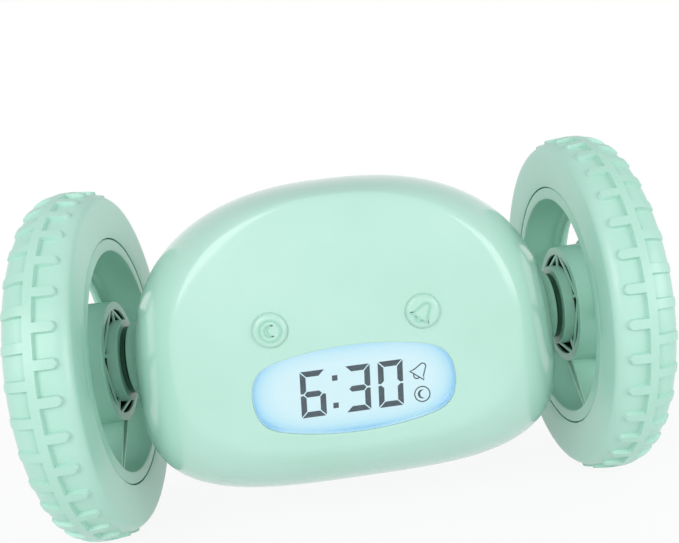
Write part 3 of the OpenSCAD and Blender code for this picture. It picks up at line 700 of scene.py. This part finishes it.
def make_lens(materials):
    """Clear window that follows the face's dome just under its surface."""
    n = 180
    outline = window_outline(-LENS_GAP, n)

    def lens_ring(f, sink):
        ring_x = [x * f for x, _ in outline]
        ring_z = [WINDOW_Z + (z - WINDOW_Z) * f for _, z in outline]
        return [(x, -(face_y(x, z, FRONT_DEPTH) - sink), z) for x, z in zip(ring_x, ring_z)]

    steps = 14
    levels = [lens_ring(1 - k / steps * 0.97, LENS_SINK) for k in range(steps + 1)]
    levels[0] = [(x * 0.995, y, z) for x, y, z in levels[0]]
    rim_ring = lens_ring(1, LENS_SINK + 0.25)
    back = [(x, -LENS_BACK, z) for x, z in outline]
    rings = [back, rim_ring] + levels
    points = [p for r in rings for p in r]
    faces = loft_faces(len(rings), n)
    faces += [tuple(range(n)), tuple(range((len(rings) - 1) * n, len(rings) * n))]
    lens = add_mesh("display_lens_clear", points, faces, 40)
    finish_piece(lens, "clock_body", "lens", materials["lens"], "display_lens")


# Seven-segment digits: height, width and stroke, the slant, and each digit's centre along X
DIGIT_H = 10.6
DIGIT_W = 5.7
STROKE = 1.3
SLANT = 0.075
SEGMENT_GAP = 0.17
DIGITS = (("6", -9.45), ("3", 0.7), ("0", 8.2))
COLON_X = -4.45
COLON_Z = (3.0, -3.3)
COLON_HALF = 0.62
DIGIT_Z = -7.95
ICON_X = 15.1
ICON_LINE = 0.28
SEGMENTS = {"6": "afgecd", "3": "abgcd", "0": "abcdef"}
INK_T = 0.05


def segment_outline(name):
    """Outline of one segment of a digit about its centre, with mitred ends."""
    w, h, s, g = DIGIT_W / 2, DIGIT_H / 2, STROKE, SEGMENT_GAP
    if name in "ad":
        edge = h if name == "a" else -h
        inner = edge - math.copysign(s, edge)
        return [(-w + g, edge), (w - g, edge), (w - s - g, inner), (-w + s + g, inner)]
    if name == "g":
        half = s / 2
        return [(-w + s + g, half), (w - s - g, half), (w - s * 0.55 - g, 0), (w - s - g, -half),
                (-w + s + g, -half), (-w + s * 0.55 + g, 0)]
    right = name in "bc"
    upper = name in "bf"
    edge = w if right else -w
    inner = edge - math.copysign(s, edge)
    sign = 1 if upper else -1
    return [(edge, sign * (h - g)), (inner, sign * (h - s - g)), (inner, sign * (s / 2 + g)),
            (edge - math.copysign(s * 0.5, edge), sign * g), (edge, sign * g * 1.5)]


def flat_ink(outline, y=LCD_FRONT):
    """A thin solid of ink on the LCD's front, from an outline of (x, z)."""
    n = len(outline)
    points = [(x, -y, z) for x, z in outline] + [(x, -y - INK_T, z) for x, z in outline]
    faces = [tuple(range(n)), tuple(range(2 * n - 1, n - 1, -1))]
    faces += [(i, (i + 1) % n, n + (i + 1) % n, n + i) for i in range(n)]
    return points, faces


def stroke_quads(path, width, y0, y1, closed=False):
    """A line of even width along points of (x, z), solid from y0 to y1."""
    path = [np.array(p, float) for p in path]
    n = len(path)
    left, right = [], []
    for i, p in enumerate(path):
        before = path[i - 1] if closed or i else p
        after = path[(i + 1) % n] if closed or i < n - 1 else p
        along = (after - before) / np.linalg.norm(after - before)
        normal = np.array([-along[1], along[0]]) * width / 2
        left.append(p + normal)
        right.append(p - normal)
    points = []
    for p, q in zip(left, right):
        points += [(p[0], y0, p[1]), (q[0], y0, q[1]), (q[0], y1, q[1]), (p[0], y1, p[1])]
    faces = loft_faces(n, 4, close_rows=closed)
    if not closed:
        faces += [(0, 1, 2, 3), tuple((n - 1) * 4 + i for i in (3, 2, 1, 0))]
    return points, faces


def turned(path, angle, scale, x, z):
    """Points turned by an angle in degrees, scaled and moved."""
    c, s = math.cos(math.radians(angle)), math.sin(math.radians(angle))
    return [(x + scale * (c * u - s * v), z + scale * (s * u + c * v)) for u, v in path]


def arc(x, z, r, start, end, n=24):
    return [(x + r * math.cos(math.radians(start + (end - start) * i / n)),
             z + r * math.sin(math.radians(start + (end - start) * i / n))) for i in range(n + 1)]


# A plain bell, one unit from its crown to its rim
BELL_SIDE = [(0.3, 0.02), (0.38, -0.2), (0.56, -0.42)]
BELL = arc(0, 0.3, 0.2, 155, 25, 6) + BELL_SIDE + [(-x, z) for x, z in BELL_SIDE[::-1]]
CLAPPER = arc(0, -0.42, 0.2, 180, 360, 10)
BELL_TILT = -38


def moon_arcs(x, z, r):
    """The outer arc of a moon and the inner arc, of another centre, from horn to horn."""
    return arc(x, z, r, 62, 298, 28), arc(x + r * 0.45, z, r * 0.9, 76, 284, 28)


def crescent(x, z, r):
    """A moon as one strip of thin ink."""
    outer, inner = moon_arcs(x, z, r)
    y0, y1 = -LCD_FRONT, -LCD_FRONT - INK_T
    points = []
    for (ax, az), (bx, bz) in zip(outer, inner):
        points += [(ax, y0, az), (bx, y0, bz), (bx, y1, bz), (ax, y1, az)]
    faces = loft_faces(len(outer), 4)
    return points, faces + [(0, 1, 2, 3), tuple(len(points) - i for i in (1, 2, 3, 4))]


def make_display(materials):
    """The lit LCD behind the window, with its digits and two icons."""
    panel_points, panel_faces = flat_ink(window_outline(0.25, 120), LCD_FRONT - 1.4)
    points = [(x, -LCD_FRONT if i >= 120 else y, z) for i, (x, y, z) in enumerate(panel_points)]
    panel = add_mesh("lcd_panel", points, panel_faces)
    finish_piece(panel, "clock_body", "lcd", materials["lcd"], "lcd_glass")
    parts = []
    for digit, centre in DIGITS:
        for name in SEGMENTS[digit]:
            outline = [(centre + x + SLANT * z, DIGIT_Z + z) for x, z in segment_outline(name)]
            parts.append(flat_ink(outline))
    square = [(-COLON_HALF, -COLON_HALF), (COLON_HALF, -COLON_HALF), (COLON_HALF, COLON_HALF),
              (-COLON_HALF, COLON_HALF)]
    for z in COLON_Z:
        parts.append(flat_ink([(COLON_X + x + SLANT * (z + v), DIGIT_Z + z + v) for x, v in square]))
    y0, y1 = -LCD_FRONT, -LCD_FRONT - INK_T
    bell = turned(BELL, BELL_TILT, 3.5, ICON_X + 0.1, DIGIT_Z + 2.2)
    clapper = turned(CLAPPER, BELL_TILT, 3.5, ICON_X + 0.1, DIGIT_Z + 2.2)
    parts.append(stroke_quads(bell, ICON_LINE, y0, y1, closed=True))
    parts.append(stroke_quads(clapper, ICON_LINE, y0, y1))
    moon_z = DIGIT_Z - 3.4
    moon_ring = arc(ICON_X, moon_z, 1.75, 0, 350, 40)
    parts.append(stroke_quads(moon_ring, ICON_LINE, y0, y1, closed=True))
    parts.append(crescent(ICON_X, moon_z, 1.05))
    ink = add_mesh("lcd_digits", *merge(*parts))
    finish_piece(ink, "clock_body", "dark_plastic", materials["ink"])


def button_profile(radius, top, bottom, flange_r, flange_y):
    """Half outline of a button, (radius, y), from its crowned top round to its back."""
    soft = 1.0
    profile = [(0, top + 0.12), (radius * 0.45, top + 0.08)]
    for k in range(7):
        a = math.radians(90 * (1 - k / 6))
        profile.append((radius - soft + soft * math.cos(a), top - soft + soft * math.sin(a)))
    profile += [(radius, flange_y), (flange_r, flange_y), (flange_r, flange_y - BUTTON_WEB),
                (BUTTON_STEM_R, flange_y - BUTTON_WEB), (BUTTON_STEM_R, bottom), (0, bottom)]
    return profile


def is_icon(at):
    """Whether a place is on the lines that stand up from a front button, which take the darker painted
    shade.
    """
    return at.y < -BUTTON_FACE_Y - 0.05


def make_front_buttons(materials):
    outline = button_profile(BUTTON_R, BUTTON_FACE_Y - 0.12, 28.6, BUTTON_R + 1.3, 31.5)
    profile = [(r, -y) for r, y in outline]
    for name, x in (("snooze_button", -BUTTON_X), ("alarm_button", BUTTON_X)):
        cap = capped_y(profile, x, BUTTON_Z)
        y0, y1 = -BUTTON_FACE_Y + 0.3, -BUTTON_FACE_Y - 0.2
        if x < 0:
            outer, inner = moon_arcs(x, BUTTON_Z, 1.3)
            circle = arc(x, BUTTON_Z, 2.35, 0, 355, 60)
            icon = [stroke_quads(circle, BUTTON_LINE, y0, y1, closed=True),
                    stroke_quads(outer + inner[-2:0:-1], 0.26, y0, y1, closed=True)]
        else:
            bell = turned(BELL, BELL_TILT, 4.2, x, BUTTON_Z + 0.1)
            clapper = turned(CLAPPER, BELL_TILT, 4.2, x, BUTTON_Z + 0.1)
            icon = [stroke_quads(bell, BUTTON_LINE, y0, y1, closed=True),
                    stroke_quads(clapper, 0.28, y0, y1)]
        button = add_mesh(name + "_cap", *merge(cap, *icon))
        # Painted shade: the raised icon lines get the darker material.
        darken(button, materials["button"], materials["icon"], is_icon)
        finish_piece(button, name, "body_mint", materials["button"], name)


# ---------------------------------------------------------------- back of the body

SET_Z = 2.0
SET_X = {"hour_button": -30, "minute_button": -15, "clock_set_button": 15, "alarm_set_button": 30}
SET_R = 3.0
SPEAKER_Z = 19.5
CASE_SCREWS = ((38, 20), (-38, 20), (43, -20), (-43, -20))
DOOR_HALF = 27.0
DOOR_Y = 7.0
DOOR_TOP = -11.0
DOOR_GAP = 0.2
DOOR_SCREW = (24.4, -14.2)
KNOB_SLOT = (4.9, 2.3)
GRILLE_HOLE_R = 0.9
GRILLE_PITCH = 3.6
WELL_R = 3.0
WELL_FLOOR_Y = 9
OUTSIDE_Y = 60


def box_mesh(low, high):
    """A plain box, for cutting."""
    xs, ys, zs = zip(low, high)
    points = [(x, y, z) for x in xs for y in ys for z in zs]
    faces = [(0, 1, 3, 2), (4, 6, 7, 5), (0, 4, 5, 1), (2, 3, 7, 6), (0, 2, 6, 4), (1, 5, 7, 3)]
    return add_mesh("cutter", points, faces)


def rod_cutter(x, z, r, y0, y1, n=48):
    points, faces = capped_y([(0, y0), (r, y0), (r, y1), (0, y1)], x, z, n)
    return add_mesh("cutter", points, faces)


def door_box(gap):
    return box_mesh((-DOOR_HALF + gap, DOOR_Y + gap, -60),
                    (DOOR_HALF - gap, OUTSIDE_Y, DOOR_TOP - gap))


def speaker_places():
    places = [(0.0, SPEAKER_Z)]
    for row in (1, 2):
        for i in range(row * 6):
            a = math.radians(60 * i / row)
            reach = row * GRILLE_PITCH
            places.append((reach * math.cos(a), SPEAKER_Z + reach * math.sin(a)))
    return places


def make_rear_shell(materials):
    shell = half_shell("rear_shell_skin", REAR_DEPTH, False)
    door = half_shell("battery_door_skin", REAR_DEPTH, False)
    cut(shell, door_box(0))
    cut(door, door_box(DOOR_GAP), "INTERSECT")
    for x in SET_X.values():
        hole = circle_outline(x, SET_Z, SET_R + 0.2)
        cut(shell, flared_cutter(hole, REAR_DEPTH, CUT_DEPTH, 1, 0.2))
    half_w, half_h = KNOB_SLOT
    slot = rounded([(-half_w, SET_Z - half_h), (half_w, SET_Z - half_h), (half_w, SET_Z + half_h),
                    (-half_w, SET_Z + half_h)], 0.8)
    cut(shell, flared_cutter(slot, REAR_DEPTH, CUT_DEPTH, 1, 0.2))
    for x, z in speaker_places():
        hole = circle_outline(x, z, GRILLE_HOLE_R, 24)
        cut(shell, flared_cutter(hole, REAR_DEPTH, CUT_DEPTH, 1, 0.15))
    for x, z in CASE_SCREWS:
        cut(shell, rod_cutter(x, z, WELL_R, WELL_FLOOR_Y, OUTSIDE_Y))
    cut(door, rod_cutter(*DOOR_SCREW, 2.1, REAR_DEPTH - 2.4, OUTSIDE_Y))
    cut(door, rod_cutter(*DOOR_SCREW, 1.15, 10, OUTSIDE_Y))
    for piece, node in ((shell, "rear_shell"), (door, "battery_door")):
        piece.data.set_sharp_from_angle(angle=math.radians(40))
        finish_piece(piece, "clock_body", "body_mint", materials["body"], node)
    well = [(WELL_R, WELL_FLOOR_Y), (WELL_R, 24), (4.2, 22), (4.2, 7.5), (1.45, 7.5),
            (1.45, WELL_FLOOR_Y)]
    tubes = add_mesh("screw_wells", *merge(*(spin_y(well, x, z, 48) for x, z in CASE_SCREWS)))
    cut(tubes, skin_cutter(REAR_DEPTH, WALL / 2), "INTERSECT")
    finish_piece(tubes, "clock_body", "body_mint", materials["body"])


def make_set_buttons(materials):
    for name, x in SET_X.items():
        top = face_y(x, SET_Z, REAR_DEPTH) + 0.9
        profile = button_profile(SET_R, top - 0.12, 22.2, SET_R + 0.9, 23.2)
        button = add_mesh(name + "_cap", *capped_y(profile, x, SET_Z))
        finish_piece(button, name, "body_mint", materials["button"], name)


# ---------------------------------------------------------------- wheels

TRACK = 64.5
BEAD_R = 32.1
LUG_H = 1.0
LUG_COUNT = 36
LUG_PHASE = 1.0
LUG_HALF_W = 1.18
LUG_IN, LUG_OUT = 5.45, 6.8
BAND_HALF = 1.05
EDGE_SOFT = 0.13
# Half sections of the tyre without its lugs, (radius, offset), toward the body and away from it
TYRE_IN = ((BEAD_R, 7.0), (34, 7.35), (38, 7.62), (40.6, 7.7), (41.7, 7.66), (42.15, 7.4),
           (42.5, 7.0), (42.9, 6.35), (43.22, 5.2), (43.42, 3.0), (43.48, 1.5), (43.5, 0))
TYRE_OUT = ((BEAD_R, 6.9), (34, 7.4), (36, 7.5), (38, 7.45), (39.9, 7.0), (41.3, 6.3),
            (42.3, 5.4), (42.9, 4.4), (43.3, 2.9), (43.46, 1.5), (43.5, 0))
BEAD_HALF = 5.5


def smooth_curve(points, per_span):
    """Points on a Catmull-Rom curve through the given points."""
    p = [np.array(q, float) for q in points]
    p = [2 * p[0] - p[1]] + p + [2 * p[-1] - p[-2]]
    out = []
    for i in range(1, len(p) - 2):
        for k in range(per_span):
            t = k / per_span
            out.append(0.5 * (2 * p[i] + (p[i + 1] - p[i - 1]) * t
                              + (2 * p[i - 1] - 5 * p[i] + 4 * p[i + 1] - p[i + 2]) * t * t
                              + (3 * p[i] - p[i - 1] - 3 * p[i + 1] + p[i + 2]) * t ** 3))
    out.append(p[-2])
    return np.array(out)


def tyre_section():
    """Outer section from bead to bead: arc length from the crown, radius and offset."""
    inner = smooth_curve(TYRE_IN, 10) * np.array([1, -1])
    outer = smooth_curve(TYRE_OUT, 10)[::-1]
    crown = len(inner) - 1
    whole = np.concatenate([inner, outer[1:]])
    length = np.concatenate([[0], np.cumsum(np.linalg.norm(np.diff(whole, axis=0), axis=1))])
    return length - length[crown], whole


def graded(edges, fine, coarse, low, high):
    """Rising places from low to high, closely spaced round each edge."""
    places = {low, high}
    for e in edges:
        for k in range(-3, 4):
            if low < e + k * fine < high:
                places.add(round(e + k * fine, 5))
    ordered = sorted(places)
    out = [ordered[0]]
    for p in ordered[1:]:
        gap = p - out[-1]
        if gap < fine * 0.4:
            continue
        steps = max(1, math.ceil(gap / coarse))
        start = out[-1]
        out += [start + gap * (k + 1) / steps for k in range(steps)]
    return np.array(out)


def step_up(distance):
    """1 inside, 0 outside, rounded over the soft edge."""
    t = np.clip(0.5 - distance / (2 * EDGE_SOFT), 0, 1)
    return t * t * (3 - 2 * t)


def lug_height(s):
    """Height of a lug where it runs out from the centre band, by arc length from the crown."""
    inner = 1 - 0.2 * np.clip((-s - BAND_HALF) / (LUG_IN - BAND_HALF), 0, 1)
    outer = 1 - 0.65 * np.clip((s - BAND_HALF) / (LUG_OUT - BAND_HALF), 0, 1) ** 1.5
    return LUG_H * np.where(s < 0, inner, outer)


def tyre_mesh(side):
    """Tyre skin as one grid: a raised centre band, and rounded lugs that run out from it."""
    length, whole = tyre_section()
    edges = [-LUG_IN, -LUG_IN + 0.6, -LUG_IN + 1.2, -BAND_HALF, BAND_HALF,
             LUG_OUT - 1.2, LUG_OUT - 0.6, LUG_OUT]
    places = graded(edges, 0.12, 0.55, length[0], length[-1])
    period = 360 / LUG_COUNT
    half_angle = math.degrees(LUG_HALF_W / WHEEL_R)
    lug_edges = [-half_angle, half_angle, period / 2 - half_angle, period / 2 + half_angle]
    fine = math.degrees(0.12 / WHEEL_R)
    one = graded(lug_edges, fine, period / 14, -period / 4, period * 3 / 4)[:-1]
    turns = np.concatenate([one + period * k for k in range(LUG_COUNT)])
    r = np.interp(places, length, whole[:, 0])
    u = np.interp(places, length, whole[:, 1])
    dr, du = np.gradient(r, places), np.gradient(u, places)
    norm = np.hypot(dr, du)
    nr, nu = du / norm, -dr / norm
    s, t = np.meshgrid(places, turns)
    inner_off = (t + period / 2) % period - period / 2
    outer_off = t % period - period / 2
    across = np.abs(np.radians(np.where(s < 0, inner_off, outer_off))) * WHEEL_R
    along = np.abs(s) - (np.where(s < 0, LUG_IN, LUG_OUT) - LUG_HALF_W)
    distance = np.where(along > 0, np.hypot(along, across), across) - LUG_HALF_W
    height = np.maximum(lug_height(s) * step_up(distance), LUG_H * step_up(np.abs(s) - BAND_HALF))
    radius = r[None, :] + nr[None, :] * height
    axial = u[None, :] + nu[None, :] * height
    angle = np.radians(t + LUG_PHASE)
    points = np.stack([side * (TRACK + axial), -radius * np.cos(angle), radius * np.sin(angle)], -1)
    rows, columns = height.shape
    seat = BEAD_HALF - 0.1
    bead = [(BEAD_R, BEAD_HALF), (FLANGE_R + 0.02, seat), (FLANGE_R + 0.02, -seat),
            (BEAD_R, -BEAD_HALF)]
    extra = np.stack([np.stack([np.full(rows, side * (TRACK + x)), -q * np.cos(angle[:, 0]),
                                q * np.sin(angle[:, 0])], -1) for q, x in bead], 1)
    points = np.concatenate([points, extra], 1)
    columns += len(bead)
    return points.reshape(-1, 3), loft_faces(rows, columns, close_rows=True)


RIM_X0 = 57.6
RIM_X1 = 71.4
FLANGE_R = 31.82
DISC_X0, DISC_X1 = 68.0, 69.6
WINDOW_R0, WINDOW_R1 = 17.6, 25.7
CUP_R, CUP_IN_R, CUP_X0 = 15.6, 13.5, 59.0
DRUM_R = 10.6
HUB_X, HUB_SEAT_X = 56.8, 67.6
SCREW_HOLE_R = 2.05
CAP_R = 7.9
CHORD_HALF = 8.0
SPOKES = 5
SPOKE_PHASE, RIB_PHASE = 8.9, 17.0
SPOKE_WALL = 0.8
WALL_HEIGHTS = (3.0, 0.8, 0.8, 0.8, 8.8)
RIB_T = 0.9
# From this depth into the cup the hollows take the painted shade.
POCKET_X = 59.5
# Long edges of a slanted spoke, (distance out, distance across), from cup to barrel
SPOKE_FRONT = ((14.5, -1.55), (29.5, 1.34))
SPOKE_REAR = ((14.0, -6.14), (29.5, -0.91))


def radial(points, angle):
    """Points of (distance out, distance across) at an angle from the front, upward, as (y, z)."""
    c, s = math.cos(math.radians(angle)), math.sin(math.radians(angle))
    return [(-(c * d - s * w), s * d + c * w) for d, w in points]


def shifted(edge, w):
    """An edge moved across by w."""
    return [(d, across + w) for d, across in edge]


def bar(low, high, half):
    """Outline of a straight bar between two distances out, centred across."""
    return [(low, -half), (high, -half), (high, half), (low, half)]


def rim_parts(side):
    """Barrel with its flanges, hub with its cup and drum, spokes with walls, and the cup's ribs."""
    barrel = rounded([(28.8, RIM_X0), (FLANGE_R, RIM_X0), (FLANGE_R, RIM_X1), (28.8, RIM_X1),
                      (28.2, DISC_X1), (WINDOW_R1, DISC_X1), (WINDOW_R1, DISC_X0),
                      (27.0, DISC_X0), (28.0, DISC_X0 - 1)], 0.4)
    hub = rounded([(WINDOW_R0, DISC_X1), (13.0, DISC_X1), (12.0, RIM_X1), (8.0, RIM_X1),
                   (8.0, HUB_SEAT_X), (SCREW_HOLE_R, HUB_SEAT_X), (SCREW_HOLE_R, HUB_X),
                   (DRUM_R, HUB_X), (DRUM_R, POCKET_X), (DRUM_R, DISC_X0), (CUP_IN_R, DISC_X0),
                   (CUP_IN_R, POCKET_X), (CUP_IN_R, CUP_X0), (CUP_R, CUP_X0),
                   (CUP_R + 0.3, DISC_X0), (WINDOW_R0, DISC_X0)], 0.3)
    parts = [spin(barrel, side), spin(hub, side)]
    for i in range(SPOKES):
        angle = SPOKE_PHASE + 360 / SPOKES * i
        plate = [SPOKE_FRONT[0], SPOKE_FRONT[1], SPOKE_REAR[1], SPOKE_REAR[0]]
        parts.append(prism(radial(plate, angle), side, DISC_X0 + 0.03, DISC_X1 - 0.03))
        start = DISC_X0 - WALL_HEIGHTS[i]
        for edge, w in ((SPOKE_FRONT, -SPOKE_WALL), (SPOKE_REAR, SPOKE_WALL)):
            wall = list(edge) + shifted(edge, w)[::-1]
            parts.append(prism(radial(wall, angle), side, start, DISC_X0 + 0.3))
        turn = RIB_PHASE + 360 / SPOKES * i
        leg = bar(DRUM_R - 0.5, CUP_IN_R + 0.5, RIB_T / 2)
        chord = bar(DRUM_R + 0.45, DRUM_R + 0.45 + RIB_T, CHORD_HALF)
        parts.append(prism(radial(leg, turn), side, CUP_X0 + 0.05, DISC_X0 + 0.3, POCKET_X))
        parts.append(prism(radial(chord, turn + 31), side, CUP_X0 + 0.07, DISC_X0 + 0.3, POCKET_X))
    return parts


def in_pocket(at):
    """Whether a place is on the walls or floor of the deep hollows between the ribs of the cup, the
    faces that take the near-black painted shade.
    """
    deep = POCKET_X < abs(at.x) < DISC_X0 + 0.3
    return deep and DRUM_R - 0.1 < math.hypot(at.y, at.z) < CUP_IN_R + 0.1


def make_wheel(side, materials):
    name = SIDES[side]
    body = "wheel_" + name
    tyre = add_mesh("tyre_" + name + "_tread", *tyre_mesh(side), 60)
    finish_piece(tyre, body, "tyre_mint", materials["tyre"], "tyre_" + name)
    rim = add_mesh("rim_" + name + "_spokes", *merge(*rim_parts(side)), 40)
    # Painted shade: the faces deep in the cup's hollows get the near-black material.
    darken(rim, materials["rim"], materials["pocket_shade"], in_pocket)
    bevel(rim, 0.16)
    finish_piece(rim, body, "wheel_mint", materials["rim"], "rim_" + name)
    cap_profile = rounded([(0.01, RIM_X1 - 0.6), (CAP_R, RIM_X1 - 0.6), (CAP_R, RIM_X1 + 0.15),
                           (CAP_R - 1.7, RIM_X1 + 0.58), (0.01, RIM_X1 + 0.58)], 0.3)
    cap = add_mesh("hub_cap_" + name + "_disc", *spin(cap_profile, side, 96))
    finish_piece(cap, body, "wheel_mint", materials["rim"], "hub_cap_" + name)


BOSS_R = 9.8
BOSS_X0, BOSS_X1 = 48.0, 55.2
BOSS_BORE_R = 4.1
# Closed outline, (radius, x), with a flare that runs into the body's flank
BOSS_PROFILE = [(BOSS_R + 3.2, 50.4), (BOSS_R + 2.0, 51.6), (BOSS_R + 0.9, 52.5),
                (BOSS_R + 0.25, 53.4), (BOSS_R, 54.2), (BOSS_R - 0.08, 54.85),
                (BOSS_R - 0.4, BOSS_X1), (BOSS_BORE_R, BOSS_X1), (BOSS_BORE_R, BOSS_X0),
                (BOSS_R, BOSS_X0)]


def make_bosses(materials):
    """Round boss that grows out of each side of the body round the axle."""
    for side, name in SIDES.items():
        boss = add_mesh("side_boss_" + name, *spin(BOSS_PROFILE, side))
        finish_piece(boss, "clock_body", "body_mint", materials["body"])


# ---------------------------------------------------------------- CAD nodes that keep their shape

NODE_LOOKS = {
    "battery_door_screw": "steel", "case_screws": "steel", "lcd_frame": "white",
    "backlight_guide": "white", "main_board": "board", "board_screws": "steel",
    "button_switches": "black", "set_board": "board", "set_switches": "black",
    "wheel_switch": "black", "wheel_switch_knob": "grey", "speaker_frame": "black",
    "speaker_cone": "cone", "battery_box": "grey", "batteries": "sleeve",
    "battery_contacts": "steel",
}
PAIR_LOOKS = {
    "motor": "steel", "motor_shaft": "steel", "motor_pinion": "acetal", "idler_gear": "acetal",
    "idler_pin": "steel", "output_gear": "acetal", "gearbox_case": "grey", "gearbox_cover": "grey",
    # The dark green of the hub washers and axle bushes is painted shade of the gap they sit in.
    "axle": "steel", "axle_bush": "dark", "hub_washer": "dark", "wheel_screw": "steel",
}


def dress_nodes(materials):
    """Materials on the CAD nodes that no piece of the scene replaces."""
    looks = dict(NODE_LOOKS)
    for stem, look in PAIR_LOOKS.items():
        for name in SIDES.values():
            looks[stem + "_" + name] = look
    for node, look in looks.items():
        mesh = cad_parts[node].data
        mesh.materials.clear()
        mesh.materials.append(materials[look])


make_camera()
make_world()
make_floor()
make_lights()
looks = make_materials()
dress_nodes(looks)
make_front_shell(looks)
make_lens(looks)
make_display(looks)
make_front_buttons(looks)
make_rear_shell(looks)
make_set_buttons(looks)
make_bosses(looks)
for wheel_side in SIDES:
    make_wheel(wheel_side, looks)

bpy.context.scene.view_settings.view_transform = "Standard"
